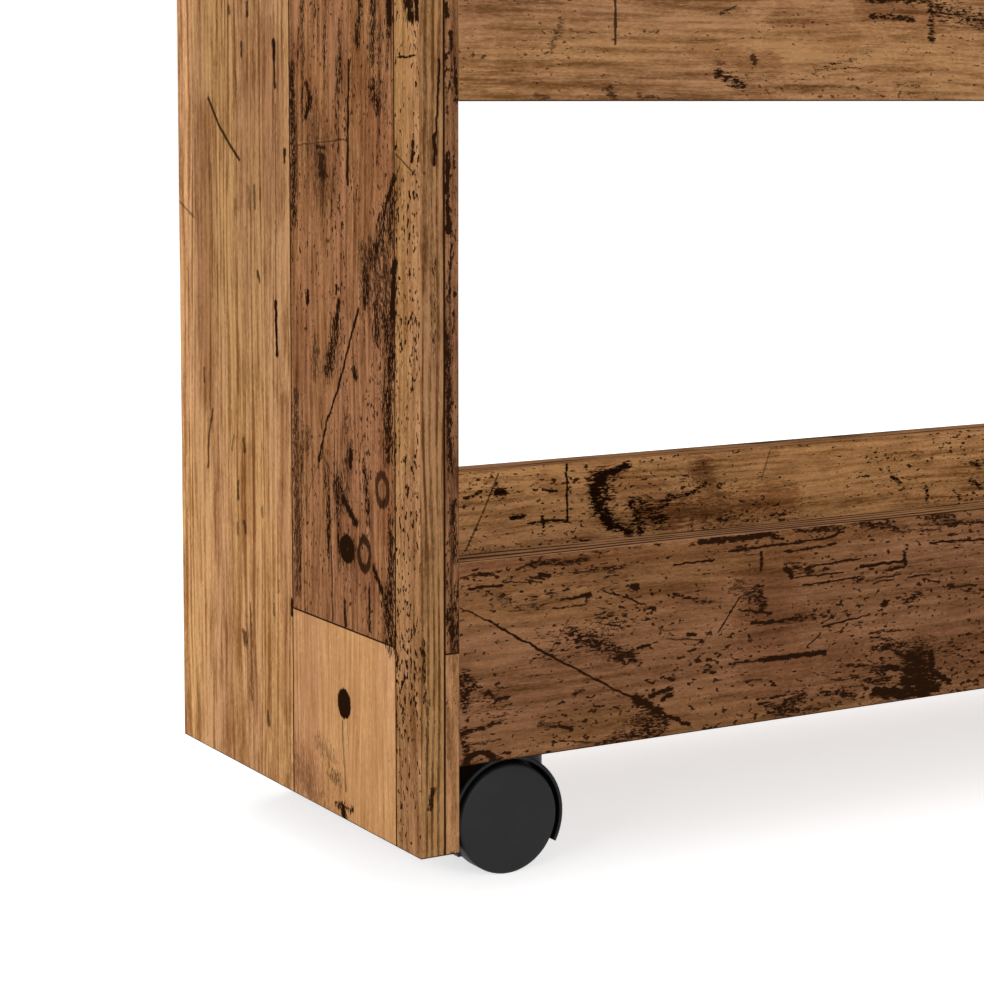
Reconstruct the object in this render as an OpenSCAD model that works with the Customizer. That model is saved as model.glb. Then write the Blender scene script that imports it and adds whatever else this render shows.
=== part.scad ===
// Slim storage trolley: three tray tiers between two end panels, on four twin-wheel castors.
// Millimetres. The origin is on the floor under the middle of the trolley.
// +X runs along its length, -Y is its front and +Z is up.

/* [Trolley] */
// Length over the two end panels
trolley_length = 540; // [400:5:900]
// Width over the two side rails
trolley_width = 200; // [190:5:400]
// Height from one shelf to the next
tier_pitch = 225; // [160:5:350]
// How far the end panels reach below the lowest rails
panel_drop = 30; // [5:1:40]
// How far the end panels stand above the top rails
panel_rise = 0; // [0:1:60]

/* [Boards] */
// Thickness of every board
board_t = 15; // [15:0.5:20]
// Height of a side rail
rail_h = 70; // [66:1:120]

/* [Cam joints] */
// Diameter of a cam lock
cam_d = 15; // [14:0.5:16]
// Board left behind the blind end of a cam lock's pocket
cam_floor = 2.5; // [2:0.1:3]
// Distance from a board's end to the middle of its cam locks
cam_inset = 24; // [20:1:34]
// Distance of a shelf's cam locks from its long middle line
shelf_cam_y = 24; // [12:1:26]
// Height of a rail's cam lock above its bottom edge
rail_cam_z = 51; // [40:1:56]
// Diameter of a cam bolt's shank
bolt_d = 6; // [5:0.5:6.5]
// Diameter of a cam bolt's thread
bolt_thread_d = 5; // [4:0.5:6]
// Diameter of a cam bolt's head
bolt_head_d = 6.4; // [5.5:0.1:6.8]
// Diameter of a cam bolt's neck, behind its head
bolt_neck_d = 3.2; // [2.5:0.1:3.6]
// Diameter of the hole in a board's end that a cam bolt slides into
bolt_hole_d = 8; // [7.2:0.1:8.5]

/* [Dowels] */
// Diameter of a dowel
dowel_d = 8; // [6:0.5:8]
// Length of a dowel
dowel_length = 30; // [25:1:40]
// Distance of a shelf's dowels from its long middle line
shelf_dowel_y = 56; // [40:1:60]
// Height of a rail's dowel above its bottom edge
rail_dowel_z = 19; // [12:1:30]

/* [Castor wheels] */
// Diameter of a castor wheel
wheel_d = 40; // [36:1:50]
// Width of a wheel's tread
wheel_w = 8.5; // [7:0.5:12]
// How far a wheel's outer face bulges in the middle
wheel_crown = 1.2; // [0.6:0.1:2]
// Thickness of a wheel's tread
tread_t = 3; // [2:0.5:4]
// Thickness of a wheel's outer wall
wheel_wall = 2.2; // [1.6:0.1:3]
// Diameter of a wheel's hub
wheel_hub_d = 10; // [8:0.5:12]
// Spokes inside a wheel
wheel_ribs = 6; // [4:1:8]
// Diameter of an axle
axle_d = 5; // [4:0.5:6]

/* [Castor housing] */
// Width of the housing's core, between the two wheels
core_w = 14; // [13:0.5:18]
// Thickness of the hood over the wheels
hood_t = 1.4; // [1.2:0.1:3]
// Gap between a wheel and the hood
hood_gap = 1.6; // [0.8:0.1:2]
// How far the hood's rim stops short of a wheel's outer edge
hood_inset = 0.6; // [0:0.1:1.5]
// How far the hood's two ends reach down past the axle, in degrees
hood_end_angle = 29; // [10:1:34]
// Thickness of the web under the middle of the hood
web_t = 4; // [3:0.5:6]
// Distance that a wheel trails behind the swivel pin
castor_trail = 14; // [14:0.5:20]
// Diameter of the neck round the swivel pin
neck_d = 16; // [15:0.5:20]
// Height of the neck above the hood
neck_h = 4; // [2:0.5:10]

/* [Castor mounting] */
// Diameter of the swivel pin
pin_d = 8; // [7:0.5:9]
// Depth of the swivel pin in the housing
pin_depth = 23; // [18:1:24]
// Thickness of the washer on the swivel pin
washer_t = 0.8; // [0.5:0.1:1.5]
// Side of the square mounting plate
plate_size = 38; // [36:1:42]
// Thickness of the mounting plate
plate_t = 2; // [1.8:0.1:3]
// Distance between the plate's screw holes
plate_hole_spacing = 27; // [26:0.5:29]
// Diameter of a castor screw
screw_d = 3.5; // [3:0.1:4]
// Length of a castor screw
screw_length = 12; // [8:0.5:13]
// Gap between a turning castor and the end panel
castor_end_gap = 9; // [2:0.5:40]
// How far a turning castor stays inside the trolley's side
castor_side_margin = 2.9; // [1:0.1:20]

/* [Clearances] */
// Radial clearance of a running fit
running_clearance = 0.05; // [0.02:0.01:0.1]
// Radial clearance of a glued or pressed fastener in its hole
hole_clearance = 0.1; // [0.05:0.05:0.2]
// Side gap between a wheel and the housing's core
side_gap = 0.5; // [0.3:0.1:1]

/* [Hidden] */
$fn = 96;
eps = 0.01;

// How far a ring-shaped or blind cutter reaches past the shape that it cuts.
cut_over = 1;

// A thread's depth and the shape of one turn, as shares of its pitch.
thread_depth = 0.22;
thread_turn = [0.35, 0.6, 0.85];

// Castor sizes that follow from the ones above.
wheel_r = wheel_d / 2;
hood_in = wheel_r + hood_gap;
hood_out = hood_in + hood_t;
castor_w = core_w + 2 * side_gap + 2 * wheel_w;
swivel_gap = 0.2;
neck_top = wheel_r + hood_out + neck_h;
washer_bottom = neck_top + swivel_gap;
plate_bottom = washer_bottom + washer_t;
castor_h = plate_bottom + plate_t;
sweep_r = norm([castor_trail + hood_out, castor_w / 2 + wheel_crown]);

// The wheels and axle.
wheel_chamfer = 0.5;
wheel_inner = core_w / 2 + side_gap;
wheel_rib_t = 1.2;
wheel_rib_inset = 2;
wheel_rib_overlap = 1;
crown_steps = 10;
hub_floor = 1.5;
hub_depth = wheel_w - hub_floor;
axle_end_gap = 0.3;
axle_boss_d = wheel_hub_d + 2;
snap_depth = 0.4;
snap_w = 0.8;
snap_play = 0.2;
snap_inset = 2.2;
snap_place = hub_depth - snap_inset;

// The housing, and how it turns on its pin.
rim_chamfer = 0.35;
web_end_angle = 1.5;
stem_floor = 2.5;
press_clearance = 0.02;
ring_t = 1;
ring_rise = 3;
ring_z = neck_top - pin_depth + ring_rise;
ring_groove_d = pin_d - 1.6;
ring_out_d = pin_d + 1.4;
ring_split = 1.5;
rivet_d = pin_d - 2;
rivet_head_d = pin_d + 1;
rivet_head_h = 1;

// The mounting plate's screws.
plate_corner_r = 3;
screw_head_d = screw_d + 3;
screw_head_h = 1.6;
screw_pitch = 1.3;
screw_room = 0.5;
screw_bite = screw_length - plate_t + screw_room;
screw_recess_size = 3.4;
screw_recess_blade = 0.8;
screw_recess_depth = 1.3;

// Where the boards and castors stand.
half_length = trolley_length / 2;
half_width = trolley_width / 2;
inner_half_length = half_length - board_t;
inner_half_width = half_width - board_t;
board_length = 2 * inner_half_length;
floor_gap = castor_h - panel_drop;
tiers = 3;
function tier_z(i) = castor_h + i * tier_pitch;
panel_top = tier_z(tiers - 1) + rail_h + panel_rise;
swivel_x = inner_half_length - castor_end_gap - sweep_r;
swivel_y = half_width - castor_side_margin - sweep_r;

// Cam joint sizes.
cam_pocket_depth = board_t - cam_floor;
cam_end_room = 0.5;
cam_h = cam_pocket_depth - cam_end_room;
cam_pocket_d = cam_d + 2 * hole_clearance;
bolt_bore_floor = 3;
bolt_bore_depth = board_t - bolt_bore_floor;
bolt_room = 1;
bolt_bite = bolt_bore_depth - bolt_room;
cam_room = 0.3;
bolt_head_l = 3;
bolt_neck_l = (cam_d - bolt_head_l) / 2 + 2 * cam_room;
bolt_shank_l = cam_inset - bolt_neck_l - bolt_head_l / 2;
bolt_pitch = 1.5;
cam_recess_size = 5.2;
cam_recess_blade = 1.1;
cam_recess_depth = 2;
dowel_bore_floor = 4;
dowel_room = 1;
dowel_bite = board_t - dowel_bore_floor - dowel_room;
dowel_chamfer = 1;

// The four castors: a name, the side in X and the side in Y.
castors = [
    ["front_left", -1, -1],
    ["front_right", 1, -1],
    ["back_left", -1, 1],
    ["back_right", 1, 1]
];

castor_pieces = [
    "castor_plate", "castor_screws", "castor_pin", "castor_washer", "castor_ring",
    "castor_housing", "castor_axle", "outer_wheel", "inner_wheel"
];

// Colours, as the finish shows them.
honey_wood = [0.70, 0.54, 0.35];
red_wood = [0.52, 0.36, 0.22];
brown_wood = [0.58, 0.41, 0.25];
beech = [0.80, 0.66, 0.45];
zinc = [0.66, 0.67, 0.68];
cam_metal = [0.60, 0.59, 0.57];
black_plastic = [0.19, 0.19, 0.19];
black_hood = [0.12, 0.12, 0.12];
steel = [0.55, 0.56, 0.58];

// Puts a fastener that points along +X at each end of a board, pointing outwards.
module at_ends() {
    for (side = [0, 1])
        mirror([side, 0, 0])
            translate([inner_half_length, 0, 0])
                children();
}

// Puts a child at both signs of Y.
module at_sides(y) {
    for (side = [-1, 1])
        translate([0, side * y, 0])
            children();
}

// Puts a child at each tier's height.
module at_tiers() {
    for (i = [0 : tiers - 1])
        translate([0, 0, tier_z(i)])
            children();
}

// A cylinder along +X from the origin.
module rod_x(d, l) {
    rotate([0, 90, 0])
        cylinder(d = d, h = l);
}

// Where the shelf bolts, shelf dowels, rail bolts and rail dowels meet an end panel, for one tier.
module at_shelf_bolts() {
    at_sides(shelf_cam_y)
        translate([0, 0, board_t / 2])
            children();
}

module at_shelf_dowels() {
    at_sides(shelf_dowel_y)
        translate([0, 0, board_t / 2])
            children();
}

module at_rail_bolts() {
    at_sides(half_width - board_t / 2)
        translate([0, 0, rail_cam_z])
            children();
}

module at_rail_dowels() {
    at_sides(half_width - board_t / 2)
        translate([0, 0, rail_dowel_z])
            children();
}

// An end panel, on the +X end. Its outer face is plain and its inner face holds bolts and dowels.
module end_panel(side) {
    color(honey_wood)
        mirror([side < 0 ? 1 : 0, 0, 0])
            difference() {
                translate([inner_half_length, -half_width, floor_gap])
                    cube([board_t, trolley_width, panel_top - floor_gap]);
                at_tiers()
                    translate([inner_half_length - eps, 0, 0]) {
                        at_shelf_bolts()
                            rod_x(bolt_thread_d + 2 * hole_clearance, bolt_bore_depth + eps);
                        at_rail_bolts()
                            rod_x(bolt_thread_d + 2 * hole_clearance, bolt_bore_depth + eps);
                        at_shelf_dowels()
                            rod_x(dowel_d + 2 * hole_clearance, dowel_bite + dowel_room + eps);
                        at_rail_dowels()
                            rod_x(dowel_d + 2 * hole_clearance, dowel_bite + dowel_room + eps);
                    }
            }
}

// The holes in one end of a shelf or rail, bored inwards from the board's end.
module bolt_hole() {
    translate([-cam_inset, 0, 0])
        rod_x(bolt_hole_d, cam_inset + eps);
}

module dowel_hole() {
    depth = dowel_length - dowel_bite + dowel_room;
    translate([-depth, 0, 0])
        rod_x(dowel_d + 2 * hole_clearance, depth + eps);
}

// A shelf. Its underside is flush with the rails' bottom edges and holds the cam locks.
module shelf(tier) {
    color(brown_wood)
        translate([0, 0, tier_z(tier)])
            difference() {
                translate([-inner_half_length, -inner_half_width, 0])
                    cube([board_length, 2 * inner_half_width, board_t]);
                at_ends() {
                    at_shelf_bolts()
                        bolt_hole();
                    at_shelf_dowels()
                        dowel_hole();
                    at_sides(shelf_cam_y)
                        translate([-cam_inset, 0, -eps])
                            cylinder(d = cam_pocket_d, h = cam_pocket_depth + eps);
                }
                if (tier == 0)
                    for (castor = castors)
                        translate([castor[1] * swivel_x, castor[2] * swivel_y, -eps])
                            at_plate_holes()
                                cylinder(d = screw_d + 2 * hole_clearance, h = screw_bite + eps);
            }
}

// A side rail on the +Y side, mirrored for the front. Its cam locks open towards the tray.
module rail(tier, side) {
    color(red_wood)
        mirror([0, side < 0 ? 1 : 0, 0])
            translate([0, half_width - board_t, tier_z(tier)])
                difference() {
                    translate([-inner_half_length, 0, 0])
                        cube([board_length, board_t, rail_h]);
                    at_ends() {
                        translate([0, board_t / 2, rail_cam_z])
                            bolt_hole();
                        translate([0, board_t / 2, rail_dowel_z])
                            dowel_hole();
                        translate([-cam_inset, -eps, rail_cam_z])
                            rotate([-90, 0, 0])
                                cylinder(d = cam_pocket_d, h = cam_pocket_depth + eps);
                    }
                }
}

// A cam bolt. It starts at the end panel's inner face: thread towards +X, head towards -X.
module cam_bolt() {
    color(zinc) {
        screw_thread(bolt_thread_d, bolt_bite, bolt_pitch);
        translate([-bolt_shank_l, 0, 0])
            rod_x(bolt_d, bolt_shank_l);
        translate([-bolt_shank_l - bolt_neck_l, 0, 0])
            rod_x(bolt_neck_d, bolt_neck_l);
        translate([-cam_inset - bolt_head_l / 2, 0, 0])
            rod_x(bolt_head_d, bolt_head_l);
    }
}

// Thread along +X from the origin, as turned ridges with a pointed last turn.
module screw_thread(d, l, pitch) {
    turns = floor(l / pitch);
    root_r = d / 2 - thread_depth * pitch;
    ridges = [
        for (i = [0 : turns - 1])
            each [
                [root_r, i * pitch],
                [root_r, (i + thread_turn[0]) * pitch],
                [d / 2, (i + thread_turn[1]) * pitch],
                [root_r, (i + thread_turn[2]) * pitch]
            ]
    ];
    rotate([0, 90, 0])
        rotate_extrude()
            polygon(concat([[0, 0]], ridges, [[root_r, turns * pitch], [0, l]]));
}

// A cam lock: a drum with a hollow for a bolt's head, a mouth that lets the head in along +Y,
// and a slot from the mouth round to +X that holds the bolt's neck once the lock is turned.
// It stands on the origin, and its driving face is at z = 0.
module cam_lock() {
    chamber_r = norm([bolt_head_l, bolt_head_d]) / 2 + cam_room;
    slot_w = bolt_neck_d + 2 * cam_room;
    mouth_w = bolt_head_d + 2 * cam_room;
    bolt_z = board_t / 2;
    color(cam_metal)
        difference() {
            cylinder(d = cam_d, h = cam_h);
            translate([0, 0, bolt_z - mouth_w / 2])
                cylinder(r = chamber_r, h = mouth_w);
            translate([0, 0, bolt_z])
                rotate([0, 0, 90])
                    rod_x(mouth_w, cam_d);
            translate([0, -slot_w / 2, bolt_z - slot_w / 2])
                cube([cam_d, cam_d, slot_w]);
            cross_recess(cam_recess_size, cam_recess_blade, cam_recess_depth);
        }
}

// A cross-shaped driver recess cut up into a face at z = 0.
module cross_recess(size, blade, depth) {
    for (turn = [0, 90])
        rotate([0, 0, turn])
            translate([-size / 2, -blade / 2, -eps])
                cube([size, blade, depth + eps]);
}

// A dowel along +X, with its middle part at the joint and chamfered ends.
module dowel() {
    color(beech)
        translate([dowel_bite - dowel_length, 0, 0])
            rotate([0, 90, 0]) {
                cylinder(d1 = dowel_d - 2 * dowel_chamfer, d2 = dowel_d, h = dowel_chamfer);
                translate([0, 0, dowel_chamfer])
                    cylinder(d = dowel_d, h = dowel_length - 2 * dowel_chamfer);
                translate([0, 0, dowel_length - dowel_chamfer])
                    cylinder(d1 = dowel_d, d2 = dowel_d - 2 * dowel_chamfer, h = dowel_chamfer);
            }
}

module shelf_cam_bolts() {
    at_tiers()
        at_ends()
            at_shelf_bolts()
                cam_bolt();
}

module shelf_cam_locks() {
    at_tiers()
        at_ends()
            at_sides(shelf_cam_y)
                translate([-cam_inset, 0, 0])
                    cam_lock();
}

module rail_cam_bolts() {
    at_tiers()
        at_ends()
            at_rail_bolts()
                cam_bolt();
}

module rail_cam_locks() {
    at_tiers()
        at_ends()
            for (side = [0, 1])
                mirror([0, side, 0])
                    translate([-cam_inset, inner_half_width, rail_cam_z])
                        rotate([-90, 0, 0])
                            cam_lock();
}

module shelf_dowels() {
    at_tiers()
        at_ends()
            at_shelf_dowels()
                dowel();
}

module rail_dowels() {
    at_tiers()
        at_ends()
            at_rail_dowels()
                dowel();
}

// Moves castor pieces from the swivel pin's foot to a castor's place.
module at_castor(castor) {
    translate([castor[1] * swivel_x, castor[2] * swivel_y, 0])
        children();
}

module at_plate_holes() {
    for (x = [-1, 1], y = [-1, 1])
        translate([x * plate_hole_spacing / 2, y * plate_hole_spacing / 2, 0])
            children();
}

// Turns a part drawn round the Z axis onto a castor's axle, pointing along +Y or -Y.
module on_axle(side) {
    translate([-castor_trail, 0, wheel_r])
        rotate([side < 0 ? 90 : -90, 0, 0])
            children();
}

// The steel plate that is screwed under the bottom shelf, with rounded corners.
module castor_plate(castor) {
    inset = plate_size / 2 - plate_corner_r;
    color(steel)
        at_castor(castor)
            translate([0, 0, plate_bottom])
                difference() {
                    union() {
                        translate([-plate_size / 2, -inset, 0])
                            cube([plate_size, 2 * inset, plate_t]);
                        translate([-inset, -plate_size / 2, 0])
                            cube([2 * inset, plate_size, plate_t]);
                        for (x = [-inset, inset], y = [-inset, inset])
                            translate([x, y, 0])
                                cylinder(r = plate_corner_r, h = plate_t);
                    }
                    at_plate_holes() {
                        translate([0, 0, -eps])
                            cylinder(d = screw_d + 2 * hole_clearance, h = plate_t + 2 * eps);
                        translate([0, 0, -eps])
                            cylinder(
                                d1 = screw_head_d + 2 * hole_clearance,
                                d2 = screw_d + 2 * hole_clearance,
                                h = screw_head_h
                            );
                    }
                    translate([0, 0, -eps])
                        cylinder(d = rivet_d + 2 * hole_clearance, h = plate_t + 2 * eps);
                    translate([0, 0, plate_t - rivet_head_h])
                        cylinder(
                            d1 = rivet_d + 2 * hole_clearance,
                            d2 = rivet_head_d + 2 * hole_clearance,
                            h = rivet_head_h + eps
                        );
                }
}

// Four countersunk screws, from the plate's underside up into the shelf.
module castor_screws(castor) {
    color(zinc)
        at_castor(castor)
            translate([0, 0, plate_bottom])
                at_plate_holes()
                    difference() {
                        union() {
                            cylinder(d1 = screw_head_d, d2 = screw_d, h = screw_head_h);
                            translate([0, 0, screw_head_h])
                                rotate([0, -90, 0])
                                    screw_thread(screw_d, screw_length - screw_head_h, screw_pitch);
                        }
                        cross_recess(screw_recess_size, screw_recess_blade, screw_recess_depth);
                    }
}

// The swivel pin: riveted flush into the plate, with a groove for the retaining ring.
module castor_pin(castor) {
    color(steel)
        at_castor(castor)
            difference() {
                union() {
                    translate([0, 0, neck_top - pin_depth])
                        cylinder(d = pin_d, h = plate_bottom - neck_top + pin_depth);
                    translate([0, 0, plate_bottom - eps])
                        cylinder(d = rivet_d, h = plate_t - rivet_head_h + 2 * eps);
                    translate([0, 0, castor_h - rivet_head_h])
                        cylinder(d1 = rivet_d, d2 = rivet_head_d, h = rivet_head_h);
                }
                translate([0, 0, ring_z])
                    difference() {
                        cylinder(d = pin_d + cut_over, h = ring_t + 2 * hole_clearance);
                        cylinder(d = ring_groove_d, h = ring_t + 2 * hole_clearance);
                    }
            }
}

// The washer between the plate and the housing's neck.
module castor_washer(castor) {
    color(zinc)
        at_castor(castor)
            translate([0, 0, washer_bottom])
                difference() {
                    cylinder(d = neck_d, h = washer_t);
                    translate([0, 0, -eps])
                        cylinder(d = pin_d + 2 * hole_clearance, h = washer_t + 2 * eps);
                }
}

// The split ring that snaps into the pin's groove and keeps the housing on it.
module castor_ring(castor) {
    color(steel)
        at_castor(castor)
            translate([0, 0, ring_z + hole_clearance])
                difference() {
                    cylinder(d = ring_out_d, h = ring_t);
                    translate([0, 0, -eps])
                        cylinder(d = ring_groove_d + 2 * hole_clearance, h = ring_t + 2 * eps);
                    translate([0, -ring_split / 2, -eps])
                        cube([pin_d, ring_split, ring_t + 2 * eps]);
                }
}

// The web's outline, drawn round the axle. It stops just short of the hood's two ends.
module hood_sector(r) {
    reach = 2 * r;
    drop = reach * tan(hood_end_angle - web_end_angle);
    difference() {
        circle(r = r);
        polygon([[0, 0], [reach, -drop], [reach, -3 * reach], [-reach, -3 * reach], [-reach, -drop]]);
    }
}

// The housing: hood, centre web, axle boss and neck, moulded as one piece.
module castor_housing(castor) {
    hood_sweep = 180 + 2 * hood_end_angle;
    rim = castor_w / 2 - hood_inset;
    color(black_hood)
        at_castor(castor)
            difference() {
                union() {
                    // The hood's shell over both wheels
                    translate([-castor_trail, 0, wheel_r])
                        rotate([90, 0, 0])
                            rotate([0, 0, -hood_end_angle])
                                rotate_extrude(angle = hood_sweep, $fn = 144)
                                    polygon([
                                        [hood_in, -rim],
                                        [hood_out - rim_chamfer, -rim],
                                        [hood_out, -rim + rim_chamfer],
                                        [hood_out, rim - rim_chamfer],
                                        [hood_out - rim_chamfer, rim],
                                        [hood_in, rim]
                                    ]);
                    // The web between the wheels
                    translate([-castor_trail, web_t / 2, wheel_r])
                        rotate([90, 0, 0])
                            linear_extrude(web_t)
                                hood_sector(hood_in + hood_t / 2);
                    // The boss that holds the axle
                    on_axle(1)
                        translate([0, 0, -core_w / 2])
                            cylinder(d = axle_boss_d, h = core_w);
                    // The stem socket inside the hood
                    translate([0, 0, neck_top - pin_depth - stem_floor])
                        cylinder(d = core_w, h = pin_depth + stem_floor);
                    // The neck, which ends inside the hood's shell
                    difference() {
                        translate([0, 0, wheel_r])
                            cylinder(d = neck_d, h = neck_top - wheel_r);
                        on_axle(1)
                            translate([0, 0, -castor_w])
                                cylinder(r = hood_in + hood_t / 4, h = 2 * castor_w);
                    }
                }
                translate([0, 0, neck_top - pin_depth - hole_clearance])
                    cylinder(d = pin_d + 2 * running_clearance, h = pin_depth + cut_over);
                translate([0, 0, ring_z - hole_clearance])
                    cylinder(d = ring_out_d + 2 * hole_clearance, h = ring_t + 4 * hole_clearance);
                on_axle(1)
                    translate([0, 0, -core_w])
                        cylinder(d = axle_d + 2 * press_clearance, h = 2 * core_w);
            }
}

// The axle, pressed through the housing, with a groove near each end for a wheel's snap ridge.
module castor_axle(castor) {
    half = wheel_inner + hub_depth - axle_end_gap;
    groove_w = snap_w + 2 * snap_play;
    groove_d = axle_d - 2 * (snap_depth + snap_play);
    color(steel)
        at_castor(castor)
            on_axle(1)
                difference() {
                    translate([0, 0, -half])
                        cylinder(d = axle_d, h = 2 * half);
                    for (side = [-1, 1])
                        translate([0, 0, side * (wheel_inner + snap_place) - groove_w / 2])
                            difference() {
                                cylinder(d = axle_d + cut_over, h = groove_w);
                                cylinder(d = groove_d, h = groove_w);
                            }
                }
}

// The outline of a wheel's outer face, from its edge to its middle: an arc that rises by the crown.
function crown_outline() =
    let (
        edge_r = wheel_r - wheel_chamfer,
        arc_r = (pow(edge_r, 2) + pow(wheel_crown, 2)) / (2 * wheel_crown)
    )
    [
        for (i = [0 : crown_steps])
            let (r = edge_r * (1 - i / crown_steps))
                [r, wheel_w + wheel_crown - arc_r + sqrt(pow(arc_r, 2) - pow(r, 2))]
    ];

// One wheel: a cup with a crowned outer face, a hub on the axle and spokes between them.
module castor_wheel(castor, side) {
    pocket_r = wheel_r - tread_t;
    bore_d = axle_d + 2 * running_clearance;
    pocket_depth = wheel_w - wheel_wall;
    rib_start = wheel_hub_d / 2 - wheel_rib_overlap;
    rib_l = pocket_r - wheel_hub_d / 2 + tread_t / 2;
    rib_h = pocket_depth - wheel_rib_inset + wheel_rib_overlap;
    color(black_plastic)
        at_castor(castor)
            on_axle(side)
                translate([0, 0, wheel_inner])
                    difference() {
                        union() {
                            difference() {
                                rotate_extrude()
                                    polygon(concat(
                                        [
                                            [0, 0],
                                            [wheel_r - wheel_chamfer, 0],
                                            [wheel_r, wheel_chamfer],
                                            [wheel_r, wheel_w - wheel_chamfer]
                                        ],
                                        crown_outline()
                                    ));
                                translate([0, 0, -eps])
                                    cylinder(r = pocket_r, h = pocket_depth + eps);
                            }
                            cylinder(d = wheel_hub_d, h = wheel_w - wheel_wall / 2);
                            for (i = [0 : wheel_ribs - 1])
                                rotate([0, 0, i * 360 / wheel_ribs])
                                    translate([rib_start, -wheel_rib_t / 2, wheel_rib_inset])
                                        cube([rib_l, wheel_rib_t, rib_h]);
                        }
                        difference() {
                            translate([0, 0, -eps])
                                cylinder(d = bore_d, h = hub_depth + eps);
                            translate([0, 0, snap_place - snap_w / 2])
                                difference() {
                                    cylinder(d = bore_d + cut_over, h = snap_w);
                                    translate([0, 0, -eps])
                                        cylinder(d = axle_d - 2 * snap_depth, h = snap_w + 2 * eps);
                                }
                        }
                    }
}

// The boards.
end_panel(-1);  // end_panel_left
end_panel(1);  // end_panel_right
shelf(0);  // bottom_shelf
shelf(1);  // middle_shelf
shelf(2);  // top_shelf
rail(0, -1);  // bottom_front_rail
rail(1, -1);  // middle_front_rail
rail(2, -1);  // top_front_rail
rail(0, 1);  // bottom_back_rail
rail(1, 1);  // middle_back_rail
rail(2, 1);  // top_back_rail

// The joinery.
shelf_cam_bolts();
shelf_cam_locks();
rail_cam_bolts();
rail_cam_locks();
shelf_dowels();
rail_dowels();

// The castors. A castor's outer wheel faces the trolley's side and its inner wheel faces in.
for (castor = castors) {
    castor_plate(castor);
    castor_screws(castor);
    castor_pin(castor);
    castor_washer(castor);
    castor_ring(castor);
    castor_housing(castor);
    castor_axle(castor);
    castor_wheel(castor, castor[2]);
    castor_wheel(castor, -castor[2]);
}
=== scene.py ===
"""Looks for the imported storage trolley: old-plank decor boards, zinc cam locks and black twin-wheel
castors. Metres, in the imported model's frame: +X runs along the trolley, -Y is its front, +Z is up."""

import math

import bmesh
import bpy
from mathutils import Matrix, Vector


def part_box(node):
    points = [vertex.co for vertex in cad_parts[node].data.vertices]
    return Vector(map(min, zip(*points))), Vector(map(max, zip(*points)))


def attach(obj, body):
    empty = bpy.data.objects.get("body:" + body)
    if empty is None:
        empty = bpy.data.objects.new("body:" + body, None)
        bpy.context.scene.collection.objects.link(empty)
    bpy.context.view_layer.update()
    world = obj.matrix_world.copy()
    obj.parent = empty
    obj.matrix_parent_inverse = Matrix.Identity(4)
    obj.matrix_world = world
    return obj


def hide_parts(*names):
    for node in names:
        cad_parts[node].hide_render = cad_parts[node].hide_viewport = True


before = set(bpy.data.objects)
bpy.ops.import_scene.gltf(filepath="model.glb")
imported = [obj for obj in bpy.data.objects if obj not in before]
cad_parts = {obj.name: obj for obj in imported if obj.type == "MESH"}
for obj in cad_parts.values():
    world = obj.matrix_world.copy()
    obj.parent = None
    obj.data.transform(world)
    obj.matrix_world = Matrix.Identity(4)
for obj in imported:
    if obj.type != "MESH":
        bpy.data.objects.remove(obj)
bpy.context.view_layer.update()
MM = 0.001
# Points closer together than this, in metres, become one.
WELD = 1e-6
# Farther out than any board reaches, in millimetres.
FAR_OFF = 1000.0
WHITE = (1.0, 1.0, 1.0, 1.0)

# The photograph's camera: where it stands, where it looks and how long its lens is.
SENSOR_WIDTH = 36.0
EYE = (-0.6738, -0.8434, 0.2756)
EYE_TURN = 30.134
EYE_TILT = 5.238
LENS = 93.83
SHIFT = -0.16


def on_screen(red, green, blue):
    """A colour as a screen shows it, from 0 to 255, in the light values that materials take."""
    shares = [c / 255 for c in (red, green, blue)]
    return tuple(c / 12.92 if c <= 0.04045 else ((c + 0.055) / 1.055) ** 2.4 for c in shares) + (1.0,)


# Node trees

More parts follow.
